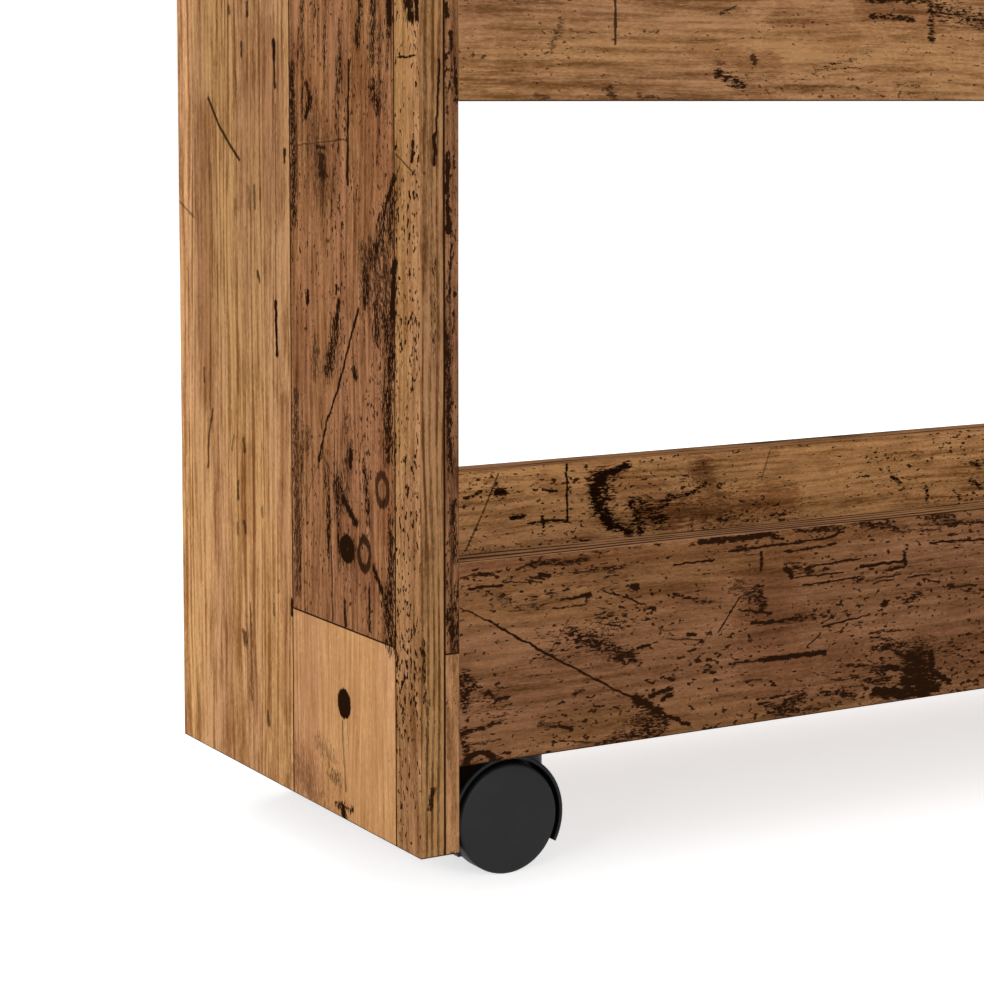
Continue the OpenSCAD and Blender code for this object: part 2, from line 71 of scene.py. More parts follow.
class Bench:
    """Adds nodes to one tree and hands back their outputs."""

    MIX_SLOTS = {"FLOAT": (2, 3, 0), "VECTOR": (4, 5, 1), "RGBA": (6, 7, 2)}

    def __init__(self, tree):
        self.tree = tree

    def put(self, kind, inputs, **settings):
        node = self.tree.nodes.new(kind)
        for name, value in settings.items():
            setattr(node, name, value)
        for name, value in inputs.items():
            self.feed(node.inputs[name], value)
        return node

    def feed(self, socket, value):
        if isinstance(value, bpy.types.NodeSocket):
            self.tree.links.new(value, socket)
        else:
            socket.default_value = value

    def math(self, operation, a, b=0.0, c=0.0):
        return self.put("ShaderNodeMath", {0: a, 1: b, 2: c}, operation=operation).outputs[0]

    def add(self, a, b):
        return self.math("ADD", a, b)

    def times(self, a, b):
        return self.math("MULTIPLY", a, b)

    def minus(self, a, b):
        return self.math("SUBTRACT", a, b)

    def over(self, a, b):
        return self.math("DIVIDE", a, b)

    def scaled(self, a, factor, offset=0.0):
        return self.math("MULTIPLY_ADD", a, factor, offset)

    def least(self, a, b):
        return self.math("MINIMUM", a, b)

    def either(self, a, b):
        """The greater of two values, which lays two masks over each other."""
        return self.math("MAXIMUM", a, b)

    def above(self, a, limit):
        return self.math("GREATER_THAN", a, limit)

    def below(self, a, limit):
        return self.math("LESS_THAN", a, limit)

    def rise(self, value, low, high, to_low=0.0, to_high=1.0):
        """From to_low below low to to_high above high, with a soft step between them."""
        return self.put("ShaderNodeMapRange", {0: value, 1: low, 2: high, 3: to_low, 4: to_high},
                        interpolation_type="SMOOTHSTEP", clamp=False).outputs[0]

    def mix(self, share, a, b, kind="RGBA"):
        first, second, out = self.MIX_SLOTS[kind]
        return self.put("ShaderNodeMix", {0: share, first: a, second: b}, data_type=kind).outputs[out]

    def tinted(self, share, colour, tint):
        """A colour multiplied by a tint, as far as share says."""
        return self.put("ShaderNodeMix", {0: share, 6: colour, 7: tint},
                        data_type="RGBA", blend_type="MULTIPLY").outputs[2]

    def join(self, x, y, z=0.0):
        return self.put("ShaderNodeCombineXYZ", {0: x, 1: y, 2: z}).outputs[0]

    def split(self, vector):
        return self.put("ShaderNodeSeparateXYZ", {0: vector}).outputs

    def vector(self, operation, a, b=(0.0, 0.0, 0.0), out=0):
        return self.put("ShaderNodeVectorMath", {0: a, 1: b}, operation=operation).outputs[out]

    def noise(self, place, scale=1.0, detail=2.0, roughness=0.5):
        return self.put("ShaderNodeTexNoise", {"Vector": place, "Scale": scale, "Detail": detail,
                                               "Roughness": roughness}).outputs["Fac"]

    def group(self, tree, inputs):
        node = self.tree.nodes.new("ShaderNodeGroup")
        node.node_tree = tree
        for name, value in inputs.items():
            self.feed(node.inputs[name], value)
        return node.outputs


def new_group(name, inputs, outputs, kind="Shader"):
    """An empty shader or geometry tree, with its bench and its input sockets."""
    tree = bpy.data.node_groups.new(name, kind + "NodeTree")
    for socket, value in inputs:
        tree.interface.new_socket(socket, in_out="INPUT", socket_type="NodeSocket" + value)
    for socket, value in outputs:
        tree.interface.new_socket(socket, in_out="OUTPUT", socket_type="NodeSocket" + value)
    return tree, Bench(tree), tree.nodes.new("NodeGroupInput").outputs


def close_group(bench, results):
    out = bench.tree.nodes.new("NodeGroupOutput")
    for name, value in results.items():
        bench.tree.links.new(value, out.inputs[name])


CRACK_BLACK = on_screen(37, 20, 10)
STAIN = (0.3, 0.1, 0.0, 1.0)
# How far a pale plank lightens; on the back rail's inner face this is painted light in the end panel's shade.
PALER = (1.45, 1.46, 1.48, 1.0)
# A painted highlight: the light rim round each fleck, standing in for the lit edges of the grain's relief.
PAINTED_RIM_HIGHLIGHT = (1.3, 1.32, 1.36, 1.0)
YELLOWER = (1.03, 1.01, 0.9, 1.0)
PINKER = (1.0, 0.96, 0.98, 1.0)


def make_old_plank():
    """Old softwood with its grain along the first coordinate. Place is (along, across, seed), in
    millimetres. Grain is (ring gap, ring strength, flecks) and Age is (streaks, wear, contrast).
    Rag makes an edge ragged, and Whole is low where light fibres show through a dark patch."""
    tree, b, given = new_group(
        "old plank",
        [("Place", "Vector"), ("Light", "Color"), ("Dark", "Color"), ("Grain", "Vector"), ("Age", "Vector")],
        [("Colour", "Color"), ("Rag", "Float"), ("Whole", "Float")])
    along, across, seed = b.split(given["Place"])
    gap, rings, flecks = b.split(given["Grain"])
    streaks, wear, contrast = b.split(given["Age"])

    def layer(per_along, per_across, lift, detail=2.0, roughness=0.55, side=across):
        place = b.join(b.times(along, per_along), b.times(side, per_across), b.add(seed, lift))
        return b.noise(place, 1.0, detail, roughness)

    sway = layer(0.008, 0.03, 3.1, 1.0)
    side = b.add(across, b.scaled(sway, 9.0, -4.5))
    tone = layer(0.006, 0.055, 7.3, 2.0, 0.5, side)
    streaky = layer(0.022, 0.42, 11.9, 3.0, 0.6, side)
    fibre = layer(0.11, 1.8, 17.7, 3.0, 0.7)
    speckle = layer(0.5, 1.5, 59.3, 2.0, 0.6)
    mottle = layer(0.05, 0.16, 19.1, 3.0, 0.6)

    turn = b.times(b.over(side, gap), math.tau)
    ring = b.math("SINE", b.add(turn, b.times(layer(0.004, 0.09, 23.3, 1.0), 22.0)))
    ring = b.add(b.rise(ring, -0.5, 1.0), -0.4)
    lined = b.rise(layer(0.004, 0.045, 67.1, 1.0), 0.36, 0.6, 0.45, 1.15)
    ring = b.times(ring, rings)
    patchy = b.rise(layer(0.012, 0.11, 27.1, 2.0), 0.3, 0.62, 0.25, 1.3)
    ring = b.times(ring, b.times(lined, patchy))

    shade = b.scaled(b.add(tone, -0.5), 1.2, 0.42)
    shade = b.add(shade, b.times(b.add(streaky, -0.5), 2.3))
    shade = b.add(shade, b.times(b.add(mottle, -0.5), 1.3))
    shade = b.add(shade, b.times(b.add(fibre, -0.5), b.times(lined, 1.15)))
    shade = b.add(shade, b.times(b.add(speckle, -0.5), 1.05))
    shade = b.add(b.times(b.add(shade, -0.42), contrast), b.add(ring, 0.42))
    colour = b.mix(b.least(b.either(shade, -0.6), 1.7), given["Light"], given["Dark"])
    tint = b.mix(b.rise(layer(0.005, 0.05, 61.7, 1.0), 0.35, 0.65), YELLOWER, PINKER)
    colour = b.tinted(1.0, colour, tint)

    rag = layer(0.3, 1.25, 31.7, 3.0, 0.7)
    cluster = layer(0.02, 0.06, 37.9, 1.0)
    edge = b.add(b.scaled(flecks, -0.13, 0.74), b.scaled(cluster, -0.3, 0.15))
    near_fleck = b.minus(layer(0.36, 0.66, 41.3, 2.0, 0.55), edge)
    # Painted highlight: a light rim round each fleck, standing in for the lit edge of the grain's relief.
    colour = b.tinted(b.times(b.rise(near_fleck, -0.14, -0.03), 0.42), colour, PAINTED_RIM_HIGHLIGHT)
    fleck = b.times(b.rise(near_fleck, -0.02, 0.1), b.scaled(flecks, 0.4, 0.34))

    edge = b.scaled(streaks, -0.17, 0.74)
    long_dark = b.add(layer(0.012, 0.12, 47.9, 2.0, 0.5, side), b.scaled(rag, 0.4, -0.2))
    streak = b.times(b.rise(b.minus(long_dark, edge), 0.0, 0.1), 0.9)

    edge = b.scaled(wear, -0.16, 0.8)
    blotch = b.add(layer(0.024, 0.05, 53.1, 2.0, 0.5), b.scaled(rag, 0.9, -0.45))
    worn = b.times(b.rise(b.minus(blotch, edge), 0.0, 0.05), 0.95)

    whole = b.rise(speckle, 0.52, 0.6, 1.0, 0.25)
    dark = b.rise(b.either(fleck, b.times(b.either(streak, worn), whole)), 0.0, 0.92)
    colour = b.mix(dark, colour, CRACK_BLACK)
    close_group(b, {"Colour": colour, "Rag": b.scaled(rag, 4.0, -2.0), "Whole": whole})
    return tree


def make_scratch():
    """A dark mark along a straight line. Run is the line from From to its other end, and Reach
    is (half width, roughness, strength)."""
    tree, b, given = new_group(
        "scratch",
        [("Place", "Vector"), ("From", "Vector"), ("Run", "Vector"), ("Reach", "Vector"), ("Rag", "Float")],
        [("Mask", "Float")])
    half, rough, strength = b.split(given["Reach"])
    offset = b.vector("SUBTRACT", given["Place"], given["From"])
    share = b.over(b.vector("DOT_PRODUCT", offset, given["Run"], out=1),
                   b.vector("DOT_PRODUCT", given["Run"], given["Run"], out=1))
    share = b.least(b.either(share, 0.0), 1.0)
    nearest = b.put("ShaderNodeVectorMath", {0: given["Run"], "Scale": share}, operation="SCALE").outputs[0]
    away = b.over(b.vector("DISTANCE", offset, nearest, out=1), half)
    away = b.scaled(given["Rag"], rough, away)
    close_group(b, {"Mask": b.times(b.rise(away, 0.6, 1.4, 1.0, 0.0), strength)})
    return tree


def make_knot():
    """A knot. Size is its half length along and across the grain, Ring is how far in from its
    edge it is dark, from 0 to 1, and Reach is (roughness, strength, unused)."""
    tree, b, given = new_group(
        "knot",
        [("Place", "Vector"), ("Centre", "Vector"), ("Size", "Vector"), ("Ring", "Float"),
         ("Reach", "Vector"), ("Rag", "Float")],
        [("Mask", "Float")])
    rough, strength, _ = b.split(given["Reach"])
    offset = b.vector("DIVIDE", b.vector("SUBTRACT", given["Place"], given["Centre"]), given["Size"])
    away = b.scaled(given["Rag"], rough, b.vector("LENGTH", offset, out=1))
    inner = b.minus(1.0, given["Ring"])
    mask = b.times(b.rise(away, 0.9, 1.1, 1.0, 0.0),
                   b.rise(b.minus(away, inner), -0.1, 0.1))
    close_group(b, {"Mask": b.times(mask, strength)})
    return tree


def make_plank_layout():
    """Planks side by side and end to end, each with its own tone. Place is (along, across, seed)
    and Size is (plank width, plank length), in millimetres. Tone is 0 for reddish, 1 for honey."""
    tree, b, given = new_group(
        "plank layout",
        [("Place", "Vector"), ("Size", "Vector"), ("Tone", "Float")],
        [("Place", "Vector"), ("Light", "Color"), ("Dark", "Color"), ("Grain", "Vector"), ("Age", "Vector"),
         ("Joint", "Float")])
    along, across, seed = b.split(given["Place"])
    width, length, _ = b.split(given["Size"])

    def chance(x, y):
        node = b.put("ShaderNodeTexWhiteNoise", {"Vector": b.join(x, y, seed)})
        return node.outputs["Color"]

    row_place = b.add(b.over(across, width), b.times(seed, 0.37))
    row = b.math("FLOOR", row_place)
    row_luck = b.split(chance(row, 0.5))
    column_place = b.add(b.over(along, length), row_luck[0])
    column = b.math("FLOOR", column_place)
    luck = b.split(chance(row, b.add(column, 7.5)))

    def to_joint(place, size):
        share = b.math("FRACT", place)
        return b.times(b.least(share, b.minus(1.0, share)), size)

    nearest = b.least(to_joint(row_place, width), to_joint(column_place, length))
    joint = b.rise(nearest, 0.2, 0.55, 0.85, 0.0)
    honey = b.rise(b.add(luck[0], b.scaled(given["Tone"], 1.0, -0.5)), 0.35, 0.75)
    light = b.mix(honey, on_screen(148, 102, 67), on_screen(190, 144, 95))
    dark = b.mix(honey, on_screen(97, 63, 40), on_screen(138, 96, 57))
    grain = b.join(b.scaled(luck[1], 2.5, 2.4), b.scaled(honey, 0.3, 0.12), b.scaled(luck[2], 0.8, 0.1))
    streaks = b.scaled(honey, -0.6, 0.75)
    wear = b.minus(b.scaled(luck[1], 0.8, 0.15), b.times(honey, 0.3))
    age = b.join(streaks, wear, 1.0)
    place = b.join(b.add(along, b.times(luck[2], 900.0)), across, b.add(seed, b.times(luck[0], 60.0)))
    close_group(b, {"Place": place, "Light": light, "Dark": dark, "Grain": grain, "Age": age, "Joint": joint})
    return tree


OLD_PLANK = make_old_plank()
SCRATCH = make_scratch()
KNOT = make_knot()
PLANK_LAYOUT = make_plank_layout()


# What the photograph shows on the boards, read off it in the pixels of its 984 wide frame. Its
# camera stood level at PHOTO_EYE, in millimetres, turned by PHOTO_TURN, and its lens is in pixels.
PHOTO_EYE = Vector((-691.8, -875.0, 278.0))
PHOTO_TURN = math.radians(30.11)
PHOTO_LENS = 2630.5
PHOTO_MIDDLE = 492.0
PHOTO_HORIZON = 93.6

# A mark is its half width, its roughness and its strength, then the points of its line, each (x, y). A stain,
# a broad patch of a darker and warmer tone, is written the same way. A knot is its centre, its half width and
# half height, how far in from its edge it is dark, and its strength.
PANEL_FACE_MARKS = [
    (1.0, 0.3, 0.73, (213, 99), (223, 125), (233, 143), (243, 159)), (1.6, 0.5, 0.9, (278, 43), (278, 60)),
    (1.0, 0.6, 0.8, (278, 62), (279, 88)), (1.1, 0.5, 0.7, (246, 45), (246, 56)),
    (0.6, 0.4, 0.53, (279, 105), (279, 212), (278, 300)), (1.3, 0.5, 0.95, (278, 300), (279, 352)),
    (0.8, 0.6, 0.5, (183, 200), (197, 215)), (0.7, 0.4, 0.4, (215, 162), (215, 295)),
    (0.9, 0.5, 0.62, (214, 408), (210, 435), (209, 465)), (2.0, 1, 0.65, (244, 634), (245, 643)),
    (1.1, 1, 0.5, (251, 640), (251, 700)), (1.6, 1, 0.4, (239, 200), (239, 212)),
    (1.4, 1, 0.4, (252, 188), (253, 206)), (1.4, 1, 0.55, (257, 185), (258, 205)),
    (1.2, 1, 0.4, (263, 188), (263, 197)), (1.5, 0.8, 0.6, (234, 10), (234, 15)),
    (1.2, 0.8, 0.75, (252, 5), (252, 17)), (0.8, 0.6, 0.5, (240, 73), (240, 97)),
    (1.2, 0.8, 0.8, (288, 150), (288, 161)), (1.3, 0.8, 0.7, (261, 271), (262, 279)),
    (1.0, 0.8, 0.6, (206, 366), (206, 378)), (0.9, 0.8, 0.5, (235, 433), (233, 447)),
    (1.3, 0.8, 0.6, (245, 437), (246, 448)), (1.3, 0.8, 0.65, (239, 481), (239, 496)),
    (1.4, 0.8, 0.6, (245, 521), (246, 529)), (1.0, 0.8, 0.5, (238, 522), (238, 531)),
    (1.1, 0.8, 0.5, (263, 506), (263, 513)), (1.0, 0.8, 0.5, (279, 580), (279, 590)),
    (1.0, 0.7, 0.6, (250, 603), (251, 638)), (1.0, 0.8, 0.5, (274, 603), (274, 613)),
    (1.3, 0.8, 0.85, (292, 600), (292, 613)), (1.3, 1, 0.6, (267, 714), (268, 726)),
    (2.6, 1.5, 0.93, (296, 69), (297, 219)), (2.6, 1.7, 0.7, (297, 389), (298, 591)),
    (1.1, 0.5, 0.85, (352, 63), (351, 105), (350, 183)), (2.2, 1, 0.9, (314, 100), (309, 116)),
    (1.8, 1.2, 0.8, (310, 86), (313, 98)), (8.0, 1.9, 0.55, (316, 125), (326, 195)),
    (2.4, 1.2, 0.8, (320, 146), (328, 148)), (3.2, 1.2, 0.8, (324, 158), (325, 174)),
    (0.8, 0.9, 0.6, (301, 145), (349, 139)), (2.6, 1.5, 0.93, (364, 0), (360, 45)),
    (3.5, 1.7, 0.65, (376, 5), (374, 62)), (2.6, 1.2, 0.9, (391, 0), (393, 24)),
    (3.4, 1.5, 0.93, (375, 88), (380, 109)), (1.8, 0.9, 0.9, (396, 176), (386, 212)),
    (4.0, 1.3, 1, (386, 212), (382, 236)), (2.6, 1.3, 0.97, (382, 236), (372, 262)),
    (3.2, 1.7, 0.9, (394, 190), (391, 240)), (4.5, 1.9, 0.7, (366, 250), (368, 277)),
    (4.0, 1.3, 0.97, (368, 277), (368, 297)), (3.2, 0.9, 1, (396, 262), (394, 314)),
    (6.5, 2, 0.72, (375, 250), (382, 300)), (6.0, 1.9, 0.74, (386, 250), (389, 318)),
    (3.8, 1.5, 0.95, (378, 300), (379, 337)), (3.2, 1.3, 0.97, (386, 318), (390, 346)),
    (1.0, 0.8, 0.9, (338, 284), (338, 291)), (1.6, 0.7, 0.9, (310, 290), (310, 300)),
    (1.5, 1, 0.95, (341, 299), (338, 325)), (4.4, 1.35, 1, (338, 325), (330, 368)),
    (0.9, 0.5, 0.89, (360, 307), (354, 330), (339, 387), (328, 420), (320, 458)),
    (0.5, 0.6, 0.45, (320, 458), (309, 494)), (4.0, 1.5, 1, (393, 355), (389, 382)),
    (5.0, 1.5, 1, (389, 382), (390, 452)), (4.2, 1.4, 0.93, (338, 483), (345, 500)),
    (2.2, 1, 0.9, (345, 498), (357, 521)), (2.4, 1.5, 0.93, (365, 465), (370, 520)),
    (2.0, 1.1, 0.95, (374, 564), (382, 590)), (5.0, 1.45, 1, (388, 594), (391, 640)),
    (0.9, 0.9, 0.85, (370, 586), (370, 630)), (0.7, 0.6, 0.7, (332, 545), (333, 620)),
    (1.2, 0.8, 0.8, (345, 600), (346, 624)), (2.6, 1.7, 0.88, (391, 520), (392, 600)),
    (3.0, 1.9, 0.6, (318, 340), (316, 372)), (3.4, 1.7, 0.6, (310, 432), (309, 444)),
    (1.7, 0.9, 0.95, (352, 449), (352, 463)), (2.0, 1.1, 0.9, (356, 368), (357, 374)),
    (0.8, 0.8, 0.5, (342, 721), (345, 792)), (0.5, 0.6, 0.4, (347, 722), (348, 750)),
    (4.5, 2, 0.45, (318, 745), (332, 760)), (8.0, 2.1, 0.4, (297, 770), (318, 800)),
    (4.5, 1.7, 0.55, (331, 776), (338, 782)), (3.0, 1.4, 0.93, (335, 808), (351, 812)),
    (2.2, 0.9, 0.9, (343, 812), (344, 822)), (4.2, 1.1, 1, (410, 4), (413, 20)),
    (2.0, 0.8, 1, (418, 0), (419, 22)), (1.1, 0.8, 0.9, (400, 60), (417, 58)),
    (1.7, 0.9, 0.85, (414, 143), (414, 160)), (0.7, 0.8, 0.6, (398, 154), (417, 175)),
]
PANEL_FACE_KNOTS = [
    (348, 547, 7.6, 14.7, 1, 1), (383, 487, 7.4, 20, 0.5, 0.7), (365, 552, 7.4, 20, 0.5, 0.75),
    (344, 704, 6.6, 15.6, 1, 1),
]
PANEL_FACE_STAINS = [
    (9.0, 0.5, 0.36, (209, 120), (209, 385)), (12.0, 0.8, 0.2, (250, 105), (252, 190)),
    (14.0, 0.8, 0.3, (275, 60), (276, 190)), (4.5, 0.5, 0.3, (285, 400), (285, 705)),
    (7.0, 0.6, 0.3, (251, 455), (251, 522)), (15.0, 1.2, 0.36, (367, 95), (383, 165)),
    (9.0, 1.2, 0.3, (300, 55), (312, 95)), (6.5, 1.2, 0.42, (387, 440), (388, 536)),
    (12.0, 1.2, 0.25, (346, 535), (372, 575)), (7.0, 1.2, 0.25, (300, 335), (300, 375)),
    (8.0, 1.2, 0.14, (408, 60), (408, 330)), (12.0, 1.2, 0.25, (300, 768), (334, 800)),
]
PANEL_EDGE_MARKS = [
    (1.1, 0.4, 0.93, (441, 61), (438, 118), (436, 150)), (1.9, 0.6, 0.9, (436, 136), (436, 164)),
    (2.6, 1.2, 1, (448, 155), (449, 231)), (2.2, 1.2, 0.9, (452, 36), (452, 52)),
    (1.8, 1, 0.9, (447, 8), (448, 20)), (1.6, 1.4, 0.9, (453, 231), (450, 300)),
    (1.8, 1.3, 0.95, (456, 60), (457, 104)), (2.2, 1.5, 0.9, (454, 500), (455, 560)),
    (3.0, 1.6, 0.93, (449, 610), (455, 648)), (2.2, 1.8, 0.88, (448, 330), (452, 470)),
    (1.8, 1.7, 0.9, (423, 640), (425, 700)), (1.8, 1.9, 0.6, (428, 700), (427, 760)),
    (2.2, 1.2, 0.8, (433, 790), (430, 812)),
]
FRONT_RAIL_MARKS = [
    (0.5, 0.5, 0.8, (460, 606), (489, 619)),
    (1.2, 0.4, 0.97, (489, 619), (517, 636), (534, 645), (553, 656), (581, 671), (612, 687), (633, 698)),
    (7.5, 1.4, 0.97, (573, 632), (600, 643)), (7.0, 1.4, 0.97, (600, 645), (632, 655)),
    (3.0, 1.6, 0.95, (610, 658), (640, 661)), (5.5, 1.1, 1, (637, 699), (659, 712)),
    (2.2, 1.2, 1, (659, 712), (689, 726)), (2.6, 1.2, 1, (650, 697), (672, 688)),
    (2.4, 1.2, 0.95, (664, 699), (672, 694)), (9.0, 1.5, 1, (640, 723), (660, 733)),
    (5.0, 1.4, 0.97, (655, 716), (668, 722)), (3.4, 1.5, 1, (607, 742), (642, 735)),
    (2.2, 1.4, 0.95, (614, 735), (624, 733)), (1.0, 1.2, 0.7, (560, 741), (600, 744)),
    (1.9, 1.3, 0.97, (575, 694), (584, 689)), (3.0, 1.8, 0.7, (540, 724), (556, 727)),
    (2.4, 1.2, 0.95, (560, 726), (572, 730)), (5.0, 1.4, 1, (464, 674), (472, 686)),
    (4.5, 1.4, 1, (463, 684), (465, 703)), (2.4, 1.5, 0.9, (489, 692), (497, 697)),
    (2.4, 1.2, 0.95, (497, 699), (508, 696)), (2.4, 1.4, 0.95, (460, 734), (500, 722)),
    (4.0, 1.5, 0.97, (461, 736), (468, 752)), (1.2, 1.3, 0.7, (463, 745), (500, 740)),
    (1.5, 1.3, 0.97, (517, 567), (532, 561)), (2.6, 1.4, 0.97, (532, 561), (558, 560)),
    (2.6, 1.1, 1, (540, 572), (549, 574)), (1.2, 1.2, 0.8, (530, 575), (545, 577)),
    (2.2, 1.5, 0.97, (563, 562), (589, 555)), (1.9, 1.4, 0.95, (475, 573), (493, 571)),
    (1.0, 1.2, 0.7, (460, 577), (475, 571)), (1.6, 1.1, 1, (470, 586), (502, 583)),
    (0.8, 1.1, 0.8, (503, 580), (542, 580)), (4.5, 1.7, 0.6, (500, 595), (508, 598)),
    (3.9, 0.6, 1, (632, 585), (637, 586)), (1.9, 1.2, 0.95, (575, 596), (590, 592)),
    (1.1, 1.2, 0.85, (560, 598), (576, 596)), (0.8, 1, 0.8, (553, 607), (586, 603)),
    (0.9, 0.9, 0.9, (600, 589), (622, 594), (646, 604)), (2.0, 1.3, 0.95, (645, 608), (655, 607)),
    (1.8, 1.2, 0.95, (688, 634), (696, 633)), (0.5, 1, 0.7, (667, 638), (703, 639)),
    (2.0, 1, 1, (638, 647), (650, 644)), (2.2, 1.5, 0.93, (706, 671), (716, 672)),
    (1.6, 1.6, 0.9, (674, 593), (698, 598)), (1.5, 1.5, 0.93, (696, 601), (714, 600)),
    (1.0, 0.9, 0.9, (674, 563), (714, 558)), (0.7, 0.8, 0.5, (571, 615), (553, 646)),
    (0.6, 0.9, 0.4, (699, 651), (712, 627)), (0.6, 0.9, 0.35, (560, 643), (542, 666)),
    (3.0, 0.9, 1, (700, 540), (742, 536), (769, 532)), (2.4, 1.5, 0.95, (769, 533), (782, 537)),
    (1.2, 0.6, 0.97, (729, 549), (795, 541), (823, 537), (844, 530)),
    (1.1, 1.2, 0.88, (784, 550), (803, 548), (818, 545), (836, 542)),
    (2.6, 1.4, 0.97, (738, 547), (747, 549)), (3.5, 1.9, 0.95, (795, 528), (840, 527)),
    (3.5, 2, 0.9, (850, 521), (893, 525)), (2.4, 1.4, 0.95, (880, 516), (890, 521)),
    (2.0, 1.3, 0.97, (925, 516), (955, 514)), (1.1, 1.2, 0.9, (930, 541), (984, 538)),
    (2.0, 1.8, 0.88, (945, 523), (984, 520)), (1.8, 1.7, 0.65, (890, 530), (940, 528)),
    (1.6, 0.8, 0.95, (761, 551), (761, 568)), (3.0, 1.1, 0.95, (786, 565), (792, 575)),
    (4.2, 1.7, 0.93, (792, 566), (812, 570)), (1.0, 0.6, 0.95, (806, 566), (860, 557)),
    (1.5, 0.6, 1, (861, 565), (903, 560)), (1.8, 0.9, 0.95, (904, 552), (906, 563)),
    (1.6, 0.9, 0.95, (886, 569), (905, 565)), (0.9, 0.7, 0.85, (795, 576), (844, 571)),
    (0.9, 0.6, 0.9, (803, 584), (858, 576)), (3.0, 1.5, 0.97, (857, 580), (862, 577)),
    (0.8, 0.9, 0.85, (874, 582), (895, 578)), (0.8, 0.8, 0.85, (876, 578), (901, 573)),
    (0.9, 0.7, 0.9, (909, 576), (931, 573)), (0.9, 0.8, 0.8, (924, 578), (941, 581)),
    (1.0, 1.1, 0.8, (951, 586), (978, 584)), (0.8, 0.7, 0.85, (719, 631), (740, 596), (764, 584)),
    (4.8, 1.4, 0.97, (757, 590), (762, 606)), (1.3, 1.1, 0.85, (739, 609), (772, 612)),
    (2.0, 1.1, 1, (752, 622), (780, 621)), (2.4, 1.5, 0.95, (780, 621), (815, 614)),
    (1.0, 0.8, 0.9, (824, 626), (870, 614)), (0.8, 0.8, 0.8, (808, 646), (821, 634)),
    (2.6, 1.1, 0.95, (884, 604), (887, 602)), (3.6, 1.6, 0.95, (905, 600), (920, 594)),
    (1.2, 1.5, 0.93, (872, 632), (915, 629)), (2.8, 1.4, 0.97, (873, 649), (907, 644)),
    (2.0, 1.8, 0.9, (873, 637), (900, 641)), (6.0, 2, 0.6, (735, 585), (752, 592)),
    (0.9, 0.8, 0.85, (735, 662), (761, 660)), (2.6, 0.7, 1, (761, 660), (800, 655), (826, 653)),
    (1.8, 1.4, 0.95, (842, 666), (895, 668)), (3.0, 1.9, 0.95, (852, 677), (886, 684)),
    (4.0, 1.5, 0.95, (875, 670), (890, 680)), (5.0, 1.6, 0.97, (786, 710), (804, 695)),
    (3.4, 1.7, 0.93, (824, 692), (858, 696)), (1.0, 1.5, 0.93, (758, 700), (800, 694)),
    (1.6, 1.3, 0.95, (769, 714), (800, 711)), (2.0, 1.7, 0.9, (760, 704), (784, 709)),
    (1.4, 1.2, 0.7, (833, 680), (850, 679)), (0.9, 1.3, 0.6, (810, 672), (830, 677)),
    (8.0, 1.2, 1, (911, 657), (926, 664)), (13.5, 1.2, 1, (918, 664), (924, 684)),
    (8.5, 1.1, 1, (907, 682), (934, 684)), (3.3, 1, 1, (933, 654), (934, 672), (951, 682)),
    (3.0, 1.1, 1, (885, 667), (914, 671)), (6.5, 1, 1, (878, 693), (925, 694)),
    (3.0, 1.2, 0.95, (897, 651), (910, 660)), (5.0, 0.8, 1, (926, 690), (940, 688)),
]
FRONT_RAIL_KNOTS = [
    (480, 762, 17.5, 11.5, 0.5, 1),
]
FRONT_RAIL_STAINS = [
    (9.0, 1, 0.34, (465, 569), (700, 549)), (8.0, 1, 0.34, (700, 544), (900, 527)),
    (32.0, 1, 0.3, (771, 560), (776, 670)), (14.0, 1, 0.25, (632, 600), (716, 590)),
    (20.0, 1.2, 0.2, (840, 660), (984, 650)),
]
BACK_RAIL_MARKS = [
    (1.1, 0.9, 0.95, (567, 460), (568, 519)), (4.5, 1.1, 1, (628, 465), (602, 474)),
    (6.8, 1.2, 1, (601, 475), (595, 487), (599, 509)), (5.0, 1.2, 1, (599, 509), (612, 525)),
    (3.5, 1.2, 0.95, (612, 525), (632, 532)), (7.0, 1.9, 0.9, (606, 484), (608, 512)),
    (5.5, 1.3, 1, (634, 502), (642, 527)), (8.0, 1.6, 0.95, (645, 505), (662, 520)),
    (3.5, 1.3, 0.95, (660, 508), (671, 497)), (2.2, 1.3, 0.93, (671, 497), (692, 493), (707, 483)),
    (10.0, 2.2, 0.5, (672, 508), (735, 512)), (3.0, 1.2, 0.95, (497, 491), (505, 492)),
    (2.6, 1.2, 0.95, (512, 516), (524, 516)), (1.8, 1.3, 0.93, (466, 497), (481, 491)),
    (1.4, 1.2, 0.85, (543, 489), (557, 490)), (1.5, 1.2, 0.85, (528, 523), (553, 519), (572, 522)),
    (1.6, 1.2, 0.85, (543, 516), (544, 527)), (0.9, 0.9, 0.65, (499, 472), (484, 510), (467, 548)),
    (6.0, 2.1, 0.7, (605, 520), (640, 534)), (10.0, 2.2, 0.4, (706, 464), (722, 498)),
    (5.0, 2.1, 0.5, (735, 505), (760, 503)), (2.5, 1.4, 0.9, (973, 480), (984, 487)),
    (2.0, 1.3, 0.93, (893, 474), (901, 482)), (1.8, 1.3, 0.93, (929, 488), (930, 500)),
    (3.0, 1.6, 0.93, (974, 462), (982, 466)), (1.6, 1.2, 0.7, (819, 438), (850, 434)),
    (0.7, 0.8, 0.5, (771, 450), (763, 478)), (2.4, 1.7, 0.9, (575, 544), (590, 541)),
]
BACK_RAIL_STAINS = [
    (15.0, 1, 0.5, (650, 514), (790, 500)), (10.0, 1, 0.45, (703, 466), (712, 500)),
    (15.0, 1, 0.32, (600, 470), (662, 500)), (9.0, 1, 0.3, (545, 478), (560, 486)),
]
